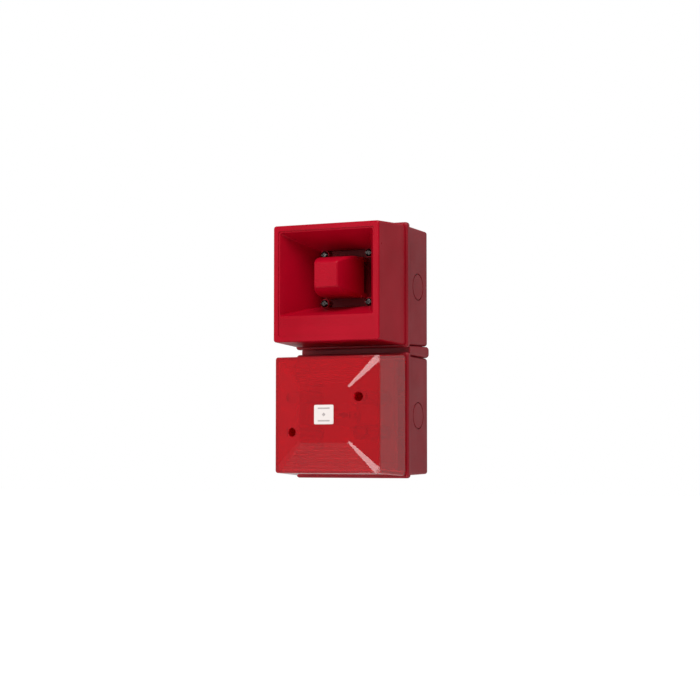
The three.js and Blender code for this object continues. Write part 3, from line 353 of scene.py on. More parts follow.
def cross_bar(radius, length, place, axis):
    """A cutter: a round bar along X or Z, centred on a place."""
    turn = (0, math.pi / 2, 0) if axis == "x" else (0, 0, 0)
    bpy.ops.mesh.primitive_cylinder_add(
        vertices=ROUND, radius=radius, depth=length, location=place, rotation=turn
    )
    return made_piece("bar")


def cutter_block(low, high):
    """A cutter: a box between two corners."""
    middle = [(a + b) / 2 for a, b in zip(low, high)]
    size = [b - a for a, b in zip(low, high)]
    bpy.ops.mesh.primitive_cube_add(size=1, location=middle, scale=size)
    return made_piece("block")


def bore_through(piece, x, z, rear, front, diameter, sides=BORE_SIDES):
    """Cuts a round hole along Y through a piece."""
    cut_away(piece, round_form("bore", x, z, [(rear, diameter / 2), (front, diameter / 2)], sides))


def back_box(node, facing, post_places, post_top):
    """One hollow box. Facing is the side, up or down, on which the coupler's hole lies."""
    low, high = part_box(node)
    z = (low.z + high.z) / 2
    flange = high.x
    front_half = flange - FLANGE_OVERHANG
    rear_half = front_half - BOX_DRAFT
    inner = rear_half - BOX_WALL
    front = low.y
    flange_rear = front + FLANGE_THICKNESS
    box = square_form(node + "_moulding", z, [
        *quarter(0, rear_half - EDGE_RADIUS, -EDGE_RADIUS, rear_half, "across"),
        (flange_rear, front_half),
        *quarter(flange_rear, flange - EDGE_RADIUS, flange_rear - EDGE_RADIUS, flange, "across"),
        *quarter(front + EDGE_RADIUS, flange, front, flange - EDGE_RADIUS, "along"),
        (front, inner),
        (-BACK_WALL, inner),
    ])
    root = -BACK_WALL + CUT_PAST
    for x, post_z in post_places:
        add_on(box, round_form("post", x, post_z, [(root, POST_DIAMETER / 2), (post_top, POST_DIAMETER / 2)]))
        bore_through(box, x, post_z, post_top + POST_BORE_DEPTH, post_top - CUT_PAST, POST_BORE)
    board_low, board_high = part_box(node.replace("back_box", "pcb"))
    rest = BOARD_POST_DIAMETER / 2
    for x, post_z in corners_of(board_high.x - rest, (board_high.z - board_low.z) / 2 - rest, z):
        stand = [(root, rest), (board_high.y + REST_GAP, rest)]
        add_on(box, round_form("post", x, post_z, stand, HOLE_SIDES))
    hole = inner - WALL_SCREW_INSET
    for x, hole_z in corners_of(hole, hole, z):
        bore_through(box, x, hole_z, CUT_PAST, -BACK_WALL - CUT_PAST, WALL_SCREW_HOLE, HOLE_SIDES)
    run = -flange_rear - EDGE_RADIUS
    wall = rear_half + BOX_DRAFT * (ENTRY_DEPTH - EDGE_RADIUS) / run
    rings = [
        ("x", (wall, -ENTRY_DEPTH, z)),
        ("x", (-wall, -ENTRY_DEPTH, z)),
        ("z", (0, -ENTRY_DEPTH, z - facing * wall)),
    ]
    for axis, place in rings:
        groove = cross_bar(KNOCKOUT_DIAMETER / 2, 2 * KNOCKOUT_GROOVE, place, axis)
        middle = cross_bar(KNOCKOUT_DIAMETER / 2 - KNOCKOUT_GROOVE, 4 * KNOCKOUT_GROOVE, place, axis)
        cut_away(groove, middle)
        cut_away(box, groove)
    place = (0, -ENTRY_DEPTH, z + facing * wall)
    cut_away(box, cross_bar(COUPLER_HOLE / 2, 4 * BOX_WALL, place, "z"))
    soften(box, BOX_EASE)
    return box


def new_group(name, inputs, outputs):
    """A shader node group with named sockets and its input and output nodes."""
    group = bpy.data.node_groups.new(name, "ShaderNodeTree")
    for socket, kind, value in inputs:
        made = group.interface.new_socket(socket, in_out="INPUT", socket_type=kind)
        made.default_value = value
    for socket, kind in outputs:
        group.interface.new_socket(socket, in_out="OUTPUT", socket_type=kind)
    return group, group.nodes.new("NodeGroupInput"), group.nodes.new("NodeGroupOutput")


def node_in(tree, kind, settings=None, **inputs):
    """A node of this kind. An input is a plain value or the socket that feeds it."""
    made = tree.nodes.new("ShaderNode" + kind)
    for key, value in (settings or {}).items():
        setattr(made, key, value)
    for key, value in inputs.items():
        socket = made.inputs[int(key[1:])] if key[1:].isdigit() else made.inputs[key.replace("_", " ")]
        if isinstance(value, bpy.types.NodeSocket):
            tree.links.new(value, socket)
        else:
            socket.default_value = value
    return made


def reckon(tree, operation, first, second=0.5):
    """The result of a sum on two values or sockets. A sum on one value leaves the second unused."""
    return node_in(tree, "Math", {"operation": operation}, _0=first, _1=second).outputs[0]


def object_place(tree):
    return node_in(tree, "TexCoord").outputs["Object"]


def make_grain_group():
    """Fine spark-eroded grain of a moulding: a height for the bump and a small change in gloss."""
    group, given, result = new_group(
        "moulded_grain",
        [("Size", "NodeSocketFloat", 1.0), ("Gloss Change", "NodeSocketFloat", 0.05)],
        [("Height", "NodeSocketFloat"), ("Gloss", "NodeSocketFloat")],
    )
    place = object_place(group)
    scale = reckon(group, "DIVIDE", 1.0, given.outputs["Size"])
    fine = node_in(group, "TexNoise", Vector=place, Scale=scale, Detail=3.0, Roughness=0.6).outputs["Fac"]
    broad = node_in(group, "TexNoise", Vector=place, Scale=38.0, Detail=2.0).outputs["Fac"]
    centred = reckon(group, "SUBTRACT", broad, 0.5)
    gloss = reckon(group, "MULTIPLY", centred, given.outputs["Gloss Change"])
    group.links.new(fine, result.inputs["Height"])
    group.links.new(gloss, result.inputs["Gloss"])
    return group


def make_edge_and_dust_group():
    """A mask along the rounded edges, mostly used for painted highlights, and a trace of dust on what faces
    up.
    """
    group, given, result = new_group(
        "edges_and_dust",
        [("Edge Width", "NodeSocketFloat", 0.0006), ("Edges", "NodeSocketFloat", 0.5),
         ("Dust", "NodeSocketFloat", 0.2)],
        [("Edge Mask", "NodeSocketFloat"), ("Dust Mask", "NodeSocketFloat")],
    )
    true = node_in(group, "NewGeometry").outputs["Normal"]
    eased = node_in(group, "Bevel", {"samples": 4}, Radius=given.outputs["Edge Width"]).outputs["Normal"]
    along = node_in(group, "VectorMath", {"operation": "DOT_PRODUCT"}, _0=true, _1=eased).outputs["Value"]
    # The edge mask marks where the surface rounds over; a paler colour laid along it is a painted highlight.
    edge = node_in(group, "MapRange", From_Min=0.98, From_Max=0.82, Value=along).outputs["Result"]
    place = object_place(group)
    patches = node_in(group, "TexNoise", Vector=place, Scale=140.0, Detail=4.0).outputs["Fac"]
    broken = node_in(group, "MapRange", From_Min=0.35, From_Max=0.7, Value=patches).outputs["Result"]
    edges = reckon(group, "MULTIPLY", reckon(group, "MULTIPLY", edge, broken), given.outputs["Edges"])
    up = node_in(group, "SeparateXYZ", Vector=true).outputs["Z"]
    flat = node_in(group, "MapRange", From_Min=0.55, From_Max=1.0, Value=up).outputs["Result"]
    dust = reckon(group, "MULTIPLY", reckon(group, "MULTIPLY", flat, patches), given.outputs["Dust"])
    group.links.new(edges, result.inputs["Edge Mask"])
    group.links.new(dust, result.inputs["Dust Mask"])
    return group


grain_group = make_grain_group()
edge_and_dust_group = make_edge_and_dust_group()


def place_group(tree, group, **inputs):
    """A node that uses a group, with its own values."""
    made = tree.nodes.new("ShaderNodeGroup")
    made.node_tree = group
    for key, value in inputs.items():
        made.inputs[key.replace("_", " ")].default_value = value
    return made


def mixed(tree, mask, first, second):
    """A colour that goes from the first to the second where the mask is 1."""
    return node_in(tree, "Mix", {"data_type": "RGBA"}, _0=mask, _6=first, _7=second).outputs[2]


def rgba(colour):
    return (*colour, 1.0)


def new_material(name):
    """A material with its node tree and its Principled shader."""
    material = bpy.data.materials.new(name)
    material.use_nodes = True
    return material, material.node_tree, material.node_tree.nodes["Principled BSDF"]


def coat(tree, colour, rough, height, depth, relief):
    """Feeds the shader its colour and roughness, and a bump of this depth and relief."""
    shader = tree.nodes["Principled BSDF"]
    tree.links.new(colour, shader.inputs["Base Color"])
    tree.links.new(rough, shader.inputs["Roughness"])
    bump = node_in(tree, "Bump", Strength=depth, Distance=relief, Height=height)
    tree.links.new(bump.outputs["Normal"], shader.inputs["Normal"])


def moulded(
    name, colour, deep, edge_and_dust_colour, roughness,
    grain=0.35 * MM, depth=0.04, edges=0.3, dust=0.25, sheen=PLASTIC_SHEEN,
):
    """Material of a moulding: uneven colour, fine grain, painted highlights on eased edges, a little dust."""
    material, tree, shader = new_material(name)
    shader.inputs["Specular IOR Level"].default_value = sheen
    surface = place_group(tree, grain_group, Size=grain, Gloss_Change=0.3)
    marks = place_group(tree, edge_and_dust_group, Edges=edges, Dust=dust)
    place = object_place(tree)
    cloud = node_in(tree, "TexNoise", Vector=place, Scale=22.0, Detail=3.0).outputs["Fac"]
    spread = node_in(tree, "MapRange", From_Min=0.3, From_Max=0.75, Value=cloud).outputs["Result"]
    body = mixed(tree, spread, rgba(deep), rgba(colour))
    # Along the eased edges this colour is a painted highlight where it is paler than the body; on the white
    # plastic it is a stain.
    body = mixed(tree, marks.outputs["Edge Mask"], body, rgba(edge_and_dust_colour))
    body = mixed(tree, marks.outputs["Dust Mask"], body, rgba(edge_and_dust_colour))
    rough = reckon(tree, "ADD", surface.outputs["Gloss"], roughness)
    coat(tree, body, rough, surface.outputs["Height"], depth, GRAIN_RELIEF)
    return material


def settle(piece, material, slot, *nodes, body="housing"):
    """Gives a finished piece its material and its body, and hides the CAD nodes that it stands for."""
    piece.data.name = piece.name
    piece.data.materials.clear()
    piece.data.materials.append(material)
    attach(piece, body)
    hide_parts(*nodes)


def middle_of(node):
    """The middle of a CAD node across the front, (x, z)."""
    low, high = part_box(node)
    return (low.x + high.x) / 2, (low.z + high.z) / 2


box_plastic = moulded("box_plastic", BOX_RED, BOX_RED_DEEP, BOX_RED_DUST_AND_HIGHLIGHT, 0.42, depth=0.08)
horn_posts = [middle_of(f"horn_screw_{index}") for index in range(1, 5)]
lens_well_x, lens_well_z = middle_of("lens_screw_1")
beacon_middle = middle_of("beacon_back_box")[1]
wells = corners_of(lens_well_x, lens_well_z - beacon_middle, beacon_middle)
horn_post_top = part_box("driver_plate")[1].y + REST_GAP
lens_post_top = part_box("reflector")[1].y + REST_GAP

for node, facing, places, top in (
    ("sounder_back_box", -1, horn_posts, horn_post_top),
    ("beacon_back_box", 1, wells, lens_post_top),
):
    settle(back_box(node, facing, places, top), box_plastic, "box_plastic", node)

# ---- Coupler and its locknuts ----
# A filler moulded in the boxes' own plastic, wider than they are, with a threaded nipple that
# reaches into each box. A black hexagonal locknut inside each box pulls it tight.
COUPLER_RADIUS = 3 * MM
NIPPLE_BORE = 14 * MM
THREAD_PITCH = 1.5 * MM
THREAD_DEPTH = 0.35 * MM
NIPPLE_RADIUS = 9.8 * MM
NUT_CHAMFER = 0.35 * MM
NUT_BLACK = (0.02, 0.02, 0.022)
NUT_GREY = (0.09, 0.09, 0.095)


def threaded_nipple(radius, half_length, inner_wall, y):
    """The coupler's nipple: plain where it passes the boxes' walls, ridged like a thread inside them."""
    bpy.ops.mesh.primitive_circle_add(
        vertices=ROUND, radius=radius - THREAD_DEPTH, fill_type="NGON", location=(0, y, -half_length)
    )
    nipple = made_piece("nipple")
    edit_faces()
    turns = int((half_length - inner_wall) / THREAD_PITCH)
    lower = [-half_length + THREAD_PITCH * (0.5 + turn / 2) for turn in range(2 * turns)]
    ridge = [radius if index % 2 == 0 else radius - THREAD_DEPTH for index in range(2 * turns)]
    heights = lower + [-inner_wall, inner_wall] + [-height for height in reversed(lower)] + [half_length]
    radii = ridge + [radius - THREAD_DEPTH] * 2 + list(reversed(ridge)) + [radius - THREAD_DEPTH]
    z, size = -half_length, radius - THREAD_DEPTH
    for height, next_size in zip(heights, radii):
        draw((0, 0, height - z))
        scale = next_size / size
        bpy.ops.transform.resize(value=(scale, scale, 1), center_override=(0, y, height))
        z, size = height, next_size
    close_mesh()
    return nipple


coupler_low, coupler_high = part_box("coupler")
upper_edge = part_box("sounder_back_box")[0].z
lower_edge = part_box("beacon_back_box")[1].z
front_z = (upper_edge - lower_edge) / 2 + FLANGE_OVERHANG - REST_GAP
rear_z = front_z + BOX_DRAFT
coupler_x = coupler_high.x
coupler_front = coupler_low.y

coupler = new_outline("coupler_moulding", 0, coupler_x - EDGE_RADIUS / 2, rear_z, 0, COUPLER_RADIUS)
draw_out((0, coupler_x - EDGE_RADIUS / 2, rear_z, 0), [
    (-EDGE_RADIUS / 2, coupler_x, rear_z, 0),
    (coupler_front + EDGE_RADIUS / 2, coupler_x, front_z, 0),
    (coupler_front, coupler_x - EDGE_RADIUS / 2, front_z, 0),
])
nipple_reach = coupler_high.z
box_inner_wall = upper_edge + FLANGE_OVERHANG + BOX_DRAFT + BOX_WALL
add_on(coupler, threaded_nipple(NIPPLE_RADIUS, nipple_reach, box_inner_wall, -ENTRY_DEPTH))
cut_away(coupler, cross_bar(NIPPLE_BORE / 2, 3 * nipple_reach, (0, -ENTRY_DEPTH, 0), "z"))
soften(coupler, EASE)
settle(coupler, box_plastic, "box_plastic", "coupler")

nut_plastic = moulded("nut_plastic", NUT_BLACK, NUT_BLACK, NUT_GREY, 0.5, depth=0.15)


def locknut(node):
    """A hexagonal nut with its six corners trimmed by a round bar."""
    low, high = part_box(node)
    thickness = high.z - low.z
    middle = (low + high) / 2
    across = high.x - low.x
    bpy.ops.mesh.primitive_cylinder_add(
        vertices=6, radius=across / 2, depth=thickness, location=middle,
        rotation=(0, 0, 0 if across > high.y - low.y else math.pi / 6),
    )
    nut = made_piece(node + "_hexagon")
    combine(nut, cross_bar(across / 2 - NUT_CHAMFER, 4 * thickness, middle, "z"), "INTERSECT")
    cut_away(nut, cross_bar(COUPLER_HOLE / 2, 4 * thickness, middle, "z"))
    soften(nut, NUT_CHAMFER)
    return nut


for node in ("coupler_locknut_upper", "coupler_locknut_lower"):
    settle(locknut(node), nut_plastic, "black_plastic", node)

# ---- Gaskets ----
# A closed loop of black foam rubber lies on each box's flange, under the foot of its cover. It is
# die-cut from sheet, and the cover's screws press it flat.
GASKET_WIDTH = 2 * MM
RUBBER = (0.012, 0.012, 0.013)
RUBBER_PALE = (0.05, 0.05, 0.052)


def gasket(node):
    low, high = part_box(node)
    z = (low.z + high.z) / 2
    half, depth = high.x, high.y - low.y
    loop = new_outline(node + "_foam", high.y, half, half, z, CORNER_RADIUS)
    bpy.ops.mesh.inset(thickness=GASKET_WIDTH)
    bpy.ops.mesh.delete(type="FACE")
    bpy.ops.mesh.select_all(action="SELECT")
    draw((0, -depth, 0))
    close_mesh()
    soften(loop, EASE)
    return loop


gasket_rubber = moulded("gasket_rubber", RUBBER_PALE, RUBBER, RUBBER_PALE, 0.85, 0.2 * MM, 0.6)
for node in ("sounder_gasket", "beacon_gasket"):
    settle(gasket(node), gasket_rubber, "gasket_rubber", node)

# ---- Horn housing ----
# The sounder's cover, moulded in glossier red: a thin-walled box whose front opens, above a band
# with fine level lines, into a square flare. A screw stands in each corner of the flare's throat.
HORN_RED = (0.45, 0.001, 0.016)
HORN_RED_DEEP = (0.37, 0.0006, 0.011)
# Paler red for dust on upward faces and for a painted highlight along the rounded edges.
HORN_RED_DUST_AND_HIGHLIGHT = (0.54, 0.02, 0.05)
HORN_SHEEN = 0.12

COVER_WALL = 2.5 * MM
NECK_HEIGHT = 1.2 * MM
NECK_SETBACK = 1.2 * MM
HORN_DRAFT = 1.9 * MM
RIM_WIDTH = 4.3 * MM
RIM_HEIGHT = 0.8 * MM
MOUTH_MARGIN = 1.4 * MM
BAND_HEIGHT = 16.6 * MM
FLARE_DEPTH = 39 * MM
FLARE_WALL = 2.2 * MM
FLARE_CURVE = 1.25
FLARE_STEPS = 16
THROAT_SIZE = 47 * MM
CHAMBER_DEPTH = 4.6 * MM
SEAT_WIDTH = 4.8 * MM
BOSS_DIAMETER = 7.6 * MM
BAND_LINES = 4
BAND_LINE_PITCH = 1.9 * MM
BAND_LINE_HEIGHT = 0.12 * MM
BAND_LINE_START = 0.8
SAME_PLANE = 0.01 * MM
SQUARE_ON = 0.9

horn_low, horn_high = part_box("horn_housing")
plug_low, plug_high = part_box("horn_plug")
horn_z = (horn_low.z + horn_high.z) / 2
throat_z = (plug_low.z + plug_high.z) / 2
horn_front = horn_low.y
cover_rear = horn_high.y - NECK_HEIGHT
cover_half = horn_high.x
horn_half = cover_half - HORN_DRAFT
panel_half = horn_half - RIM_WIDTH
panel_y = horn_front + RIM_HEIGHT
mouth_x = panel_half - MOUTH_MARGIN
mouth_low = BAND_HEIGHT - panel_half
mouth_z = (mouth_x - mouth_low) / 2
mouth_middle = horn_z + (mouth_x + mouth_low) / 2
throat_half = THROAT_SIZE / 2
flare_end = horn_front + FLARE_DEPTH
seat_y = flare_end + CHAMBER_DEPTH
neck_half = cover_half - NECK_SETBACK


def flare_sections(wall):
    """The flare from the mouth to the throat, made wider all round by a wall."""
    sections = []
    for step in range(FLARE_STEPS + 1):
        along = step / FLARE_STEPS
        spread = (1 - along) ** FLARE_CURVE
        half_x = throat_half + (mouth_x - throat_half) * spread + wall
        half_z = throat_half + (mouth_z - throat_half) * spread + wall
        y = panel_y + (flare_end - panel_y) * along
        sections.append((y, half_x, half_z, throat_z + (mouth_middle - throat_z) * spread))
    return sections


def rectangular_form(name, sections, radius=CORNER_RADIUS, corner_steps=CORNER_STEPS):
    """A closed form with rectangular sections, each (y, half width, half height, middle)."""
    y, half_x, half_z, z = sections[0]
    piece = new_outline(name, y, half_x, half_z, z, radius, corner_steps)
    draw_out(sections[0], sections[1:])
    return piece


def horn_back_space():
    """The space inside the cover and round the flare, open at the rear."""
    inner = neck_half - COVER_WALL
    ceiling = panel_y + COVER_WALL
    space = square_form("back_space", horn_z, [
        (horn_high.y + CUT_PAST, inner),
        (cover_rear, inner),
        (ceiling, horn_half - COVER_WALL),
    ])
    walls = flare_sections(FLARE_WALL)
    front = (horn_front - CUT_PAST, *walls[0][1:])
    cut_away(space, rectangular_form("flare_walls", [front, *walls]))
    seat = throat_half + SEAT_WIDTH
    seat_form = square_form("seat", throat_z, [(seat_y, seat), (flare_end - CHAMBER_DEPTH, seat)])
    cut_away(space, seat_form)
    return space


def on_front(face, y):
    """Whether a face looks to the front from this depth."""
    return abs(face.center.y - y) < SAME_PLANE and face.normal.y < -SQUARE_ON


def divide(piece, wanted, axis, lines):
    """Cuts the faces for which wanted(face) is true across an axis at each of the lines."""
    facing = [0, 0, 0]
    facing[axis] = 1
    for line in lines:
        select_faces(piece, wanted)
        bpy.ops.mesh.bisect(plane_co=[line * share for share in facing], plane_no=facing)


def rib_the_band(piece):
    """Raises fine level lines in the upper part of the band below the mouth."""
    top = mouth_middle - mouth_z
    lines = [top - BAND_LINE_PITCH * (BAND_LINE_START + index / 2) for index in range(2 * BAND_LINES)]

    def on_band(face):
        return on_front(face, panel_y) and face.center.z < top

    def on_line(face):
        step = (face.center.z - lines[-1]) / (BAND_LINE_PITCH / 2)
        return on_band(face) and 0 < step < 2 * BAND_LINES and int(step) % 2 == 0
    divide(piece, on_band, 2, lines)
    select_faces(piece, on_line)
    draw((0, -BAND_LINE_HEIGHT, 0))


def horn_cover():
    """The housing, drawn out from its foot to the rim, then in through the mouth to the throat."""
    outside = [
        (horn_high.y, neck_half), (cover_rear, neck_half), (cover_rear, cover_half),
        *quarter(horn_front + EDGE_RADIUS, horn_half, horn_front, horn_half - EDGE_RADIUS, "along"),
        (horn_front, panel_half), (panel_y, panel_half),
    ]
    sections = [(y, half, half, horn_z) for y, half in outside]
    sections += flare_sections(0)
    sections.append((seat_y + CUT_PAST, throat_half, throat_half, throat_z))
    cover = rectangular_form("horn_cover", sections)
    bpy.ops.object.mode_set(mode="EDIT")
    rib_the_band(cover)
    bpy.ops.object.mode_set(mode="OBJECT")
    cut_away(cover, horn_back_space())
    reach = throat_half + SEAT_WIDTH / 2
    for x, z in horn_posts:
        boss = round_form("boss", x, z, [(seat_y, BOSS_DIAMETER / 2), (flare_end, BOSS_DIAMETER / 2)])
        add_on(cover, boss)
        far_x = math.copysign(reach, x)
        far_z = throat_z + math.copysign(reach, z - throat_z)
        low = (min(x, far_x), flare_end, min(z, far_z))
        high = (max(x, far_x), seat_y, max(z, far_z))
        add_on(cover, cutter_block(low, high))
        bore_through(cover, x, z, seat_y + CUT_PAST, flare_end - CUT_PAST, POST_BORE)
    soften(cover, WIDE_EASE, 3)
    return cover


horn_plastic = moulded(
    "horn_plastic", HORN_RED, HORN_RED_DEEP, HORN_RED_DUST_AND_HIGHLIGHT, 0.34, depth=0.03, dust=0.1, sheen=HORN_SHEEN
)
settle(horn_cover(), horn_plastic, "horn_plastic", "horn_housing")

# ---- Horn plug ----
# A hollow square plug in the middle of the mouth. The sound comes up inside it and turns back
# round it. Fine level ribs cross its front, and four legs hold it on the driver's plate.
PLUG_FACE = 19.4 * MM
PLUG_BEVEL = 0.9 * MM
PLUG_SWELL = 3.2
PLUG_STEPS = 18
PLUG_LENGTH = 36.5 * MM
PLUG_WALL = 2 * MM
PLUG_LEG = 3.6 * MM
PLUG_RADIUS = 3 * MM
PLUG_RIBS = 11
PLUG_RIB_HEIGHT = 0.1 * MM
PLUG_LEG_INSET = 0.2 * MM

plug_front = plug_low.y
plug_rear = plug_front + PLUG_LENGTH
plug_rear_half = plug_high.x


def plug_form(name, wall, front, rear):
    """The plug's outside, or its inside if a wall is given."""
    face = PLUG_FACE / 2 - wall
    start = face + PLUG_BEVEL
    sections = [(front, face)]
    for step in range(PLUG_STEPS + 1):
        along = (step / PLUG_STEPS) ** 2
        spread = 1 - (1 - along) ** PLUG_SWELL
        y = front + PLUG_BEVEL + (rear - front - PLUG_BEVEL) * along
        sections.append((y, start + (plug_rear_half - wall - start) * spread))
    return square_form(name, throat_z, sections[::-1], PLUG_RADIUS)


def horn_plug():
    plug = plug_form("horn_plug_moulding", 0, plug_front, plug_rear)
    bpy.ops.object.mode_set(mode="EDIT")
    pitch = PLUG_FACE / (PLUG_RIBS + 0.5)
    lowest = throat_z - PLUG_FACE / 2

    def on_face(face):
        return on_front(face, plug_front)

    def on_rib(face):
        return on_face(face) and int((face.center.z - lowest) / (pitch / 2)) % 2 == 1
    divide(plug, on_face, 2, [lowest + pitch * index / 2 for index in range(1, 2 * PLUG_RIBS + 1)])
    select_faces(plug, on_rib)
    draw((0, -PLUG_RIB_HEIGHT, 0))
    bpy.ops.object.mode_set(mode="OBJECT")
    inside = plug_form("inside", PLUG_WALL, plug_front + PLUG_WALL, plug_rear + CUT_PAST)
    cut_away(plug, inside)
    far = plug_rear_half - PLUG_LEG_INSET
    near = far - PLUG_LEG
    for side_x in (-1, 1):
        for side_z in (-1, 1):
            xs = sorted((side_x * near, side_x * far))
            zs = sorted((throat_z + side_z * near, throat_z + side_z * far))
            add_on(plug, cutter_block((xs[0], plug_rear - PLUG_LEG, zs[0]), (xs[1], plug_high.y, zs[1])))
    soften(plug, EASE)
    return plug


settle(horn_plug(), horn_plastic, "horn_plastic", "horn_plug")

# ---- Screws of both covers ----
# Blackened steel pan-head screws with a driving slot: four in the corners of the throat hold the horn
# and its driver, and two at the bottom of the lens's wells hold the lens.
BLACKENED = (0.085, 0.08, 0.078)
BLACKENED_DARK = (0.035, 0.032, 0.032)
BLACKENED_BRIGHT = (0.42, 0.4, 0.38)
SCREW_DIAMETER = 3.5 * MM
SCREW_HEAD_HEIGHT = 2.2 * MM
SCREW_SLOT = 1 * MM
SCREW_PITCH = 1.2 * MM
SCREW_THREAD = 0.3 * MM
SCREW_RIDGE = ((0.35, -SCREW_THREAD), (0.5, 0), (0.65, -SCREW_THREAD))
SCREW_TIP = 0.2 * MM
SCREW_SIDES = 48
SCREW_EASE = 0.08 * MM
HEAD_EDGE = 0.5 * MM
HEAD_CROWN = 0.45


def metal(name, colour, dark, bright, roughness, scale=900.0):
    """Material of a bare or plated metal: crystalline patches, fine scratches and bright edges."""
    material, tree, shader = new_material(name)
    shader.inputs["Metallic"].default_value = 1.0
    place = object_place(tree)
    flakes = node_in(tree, "TexVoronoi", Vector=place, Scale=scale).outputs["Color"]
    shade = node_in(tree, "SeparateColor", Color=flakes).outputs[0]
    marks = place_group(tree, edge_and_dust_group, Edges=0.8, Dust=0.0)
    body = mixed(tree, shade, rgba(dark), rgba(colour))
    # The bright colour along the edge mask is a painted highlight.
    body = mixed(tree, marks.outputs["Edge Mask"], body, rgba(bright))
    wide = node_in(tree, "MapRange", Value=shade, To_Min=roughness - 0.08, To_Max=roughness + 0.08)
    surface = place_group(tree, grain_group, Size=0.08 * MM)
    coat(tree, body, wide.outputs["Result"], surface.outputs["Height"], 0.1, FINE_RELIEF)
    return material


def pan_screw(node):
    """A screw turned about its own line: domed head, threaded shank and a point."""
    low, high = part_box(node)
    x, z = middle_of(node)
    head = (high.x - low.x) / 2
    front, tip = low.y, high.y
    bearing = front + SCREW_HEAD_HEIGHT
    shank = SCREW_DIAMETER / 2
    sections = [(tip, SCREW_TIP), (tip - shank, shank - SCREW_THREAD)]
    y = tip - shank
    while y - SCREW_PITCH > bearing + SCREW_PITCH:
        sections += [(y - SCREW_PITCH * share, shank + rise) for share, rise in SCREW_RIDGE]
        y -= SCREW_PITCH
    sections += [(bearing, shank - SCREW_THREAD), (bearing, head)]
    sections += quarter(bearing - HEAD_EDGE, head, front, head * HEAD_CROWN, "along")
    screw = round_form(node + "_turned", x, z, sections, SCREW_SIDES)
    slot = SCREW_SLOT / 2
    low_corner = (x - 2 * head, front - CUT_PAST, z - slot)
    cut_away(screw, cutter_block(low_corner, (x + 2 * head, front + SCREW_HEAD_HEIGHT / 2, z + slot)))
    soften(screw, SCREW_EASE)
    return screw


blackened_steel = metal("blackened_steel", BLACKENED, BLACKENED_DARK, BLACKENED_BRIGHT, 0.3)
for node in [f"horn_screw_{index}" for index in range(1, 5)] + ["lens_screw_1", "lens_screw_2"]:
    settle(pan_screw(node), blackened_steel, "blackened_steel", node)

# ---- Reflector and lamp tower ----
# A matt white tray behind the lens throws the flash forwards. Through its middle stands the
# tower that carries the flash tube, with a socket for each of the tube's legs.
WHITE = (0.83, 0.82, 0.79)
WHITE_SHADE = (0.72, 0.71, 0.68)
WHITE_STAIN = (0.62, 0.58, 0.5)
REFLECTOR_THICKNESS = 2 * MM
REFLECTOR_SPREAD = 6 * MM
TOWER_FIT = 0.3 * MM
TUBE_DIAMETER = 4.4 * MM
TUBE_SOCKET = 3 * MM
TOWER_CHAMFER = 0.8 * MM

tray_low, tray_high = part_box("reflector")
tower_low, tower_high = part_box("lamp_tower")
tube_low, tube_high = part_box("flash_tube")
tower_radius = (tower_high.x - tower_low.x) / 2
tube_half_spread = (tube_high.x - tube_low.x) / 2 - TUBE_DIAMETER / 2


def reflector_tray():
    rim = tray_high.x
    floor_half = rim - REFLECTOR_SPREAD
    inner_rim = rim - REFLECTOR_THICKNESS / 2
    tray = square_form("reflector_tray", beacon_middle, [
        (tray_high.y, floor_half), (tray_low.y, rim), (tray_low.y, inner_rim),
        (tray_high.y - REFLECTOR_THICKNESS, floor_half - REFLECTOR_THICKNESS / 2),
    ])
    behind, before = tray_high.y + CUT_PAST, tray_high.y - REFLECTOR_THICKNESS - CUT_PAST
    bore_through(tray, 0, beacon_middle, behind, before, 2 * (tower_radius + TOWER_FIT), ROUND)
    for x, z in (wells[0], wells[2]):
        bore_through(tray, x, z, behind, before, POST_BORE)
    soften(tray, WIDE_EASE)
    return tray


def tower():
    stand = round_form("lamp_tower_moulding", 0, beacon_middle, [
        (tower_high.y, tower_radius),
        (tower_low.y + TOWER_CHAMFER, tower_radius),
        (tower_low.y, tower_radius - TOWER_CHAMFER),
    ])
    hole = TUBE_DIAMETER + 2 * TOWER_FIT
    bottom = tower_low.y + TUBE_SOCKET + TOWER_FIT
    for side in (-1, 1):
        x = side * tube_half_spread
        bore_through(stand, x, beacon_middle, bottom, tower_low.y - CUT_PAST, hole, HOLE_SIDES)
    soften(stand, EASE)
    return stand


white_plastic = moulded("white_plastic", WHITE, WHITE_SHADE, WHITE_STAIN, 0.5, edges=0.2, dust=0.1)
settle(reflector_tray(), white_plastic, "white_plastic", "reflector")
settle(tower(), white_plastic, "white_plastic", "lamp_tower")

# ---- Flash tube ----
# A clear glass tube bent into a U by heating. Its two legs stand in the tower's sockets, where its
# electrodes would be out of sight, so they have no shape here.
BEND_STEPS = 20
TUBE_SIDES = 24
GLASS_TINT = (0.96, 0.97, 0.97)
GLASS_INDEX = 1.47
SWIRL_RELIEF = 0.3 * MM


def flash_tube():
    radius = TUBE_DIAMETER / 2
    bend = tube_low.y + tube_half_spread + radius
    tube = new_disc("flash_tube_glass", tube_high.y, radius, tube_half_spread, beacon_middle, TUBE_SIDES)
    draw((0, bend - tube_high.y, 0))
    bpy.ops.mesh.spin(
        steps=BEND_STEPS, angle=math.pi, center=(0, bend, beacon_middle), axis=(0, 0, -1)
    )
    draw((0, tube_high.y - bend, 0))
    bpy.ops.mesh.select_all(action="SELECT")
    bpy.ops.mesh.remove_doubles(threshold=0.001 * MM)
    close_mesh()
    select_only(tube)
    bpy.ops.object.shade_smooth_by_angle(angle=SHARP)
    return tube


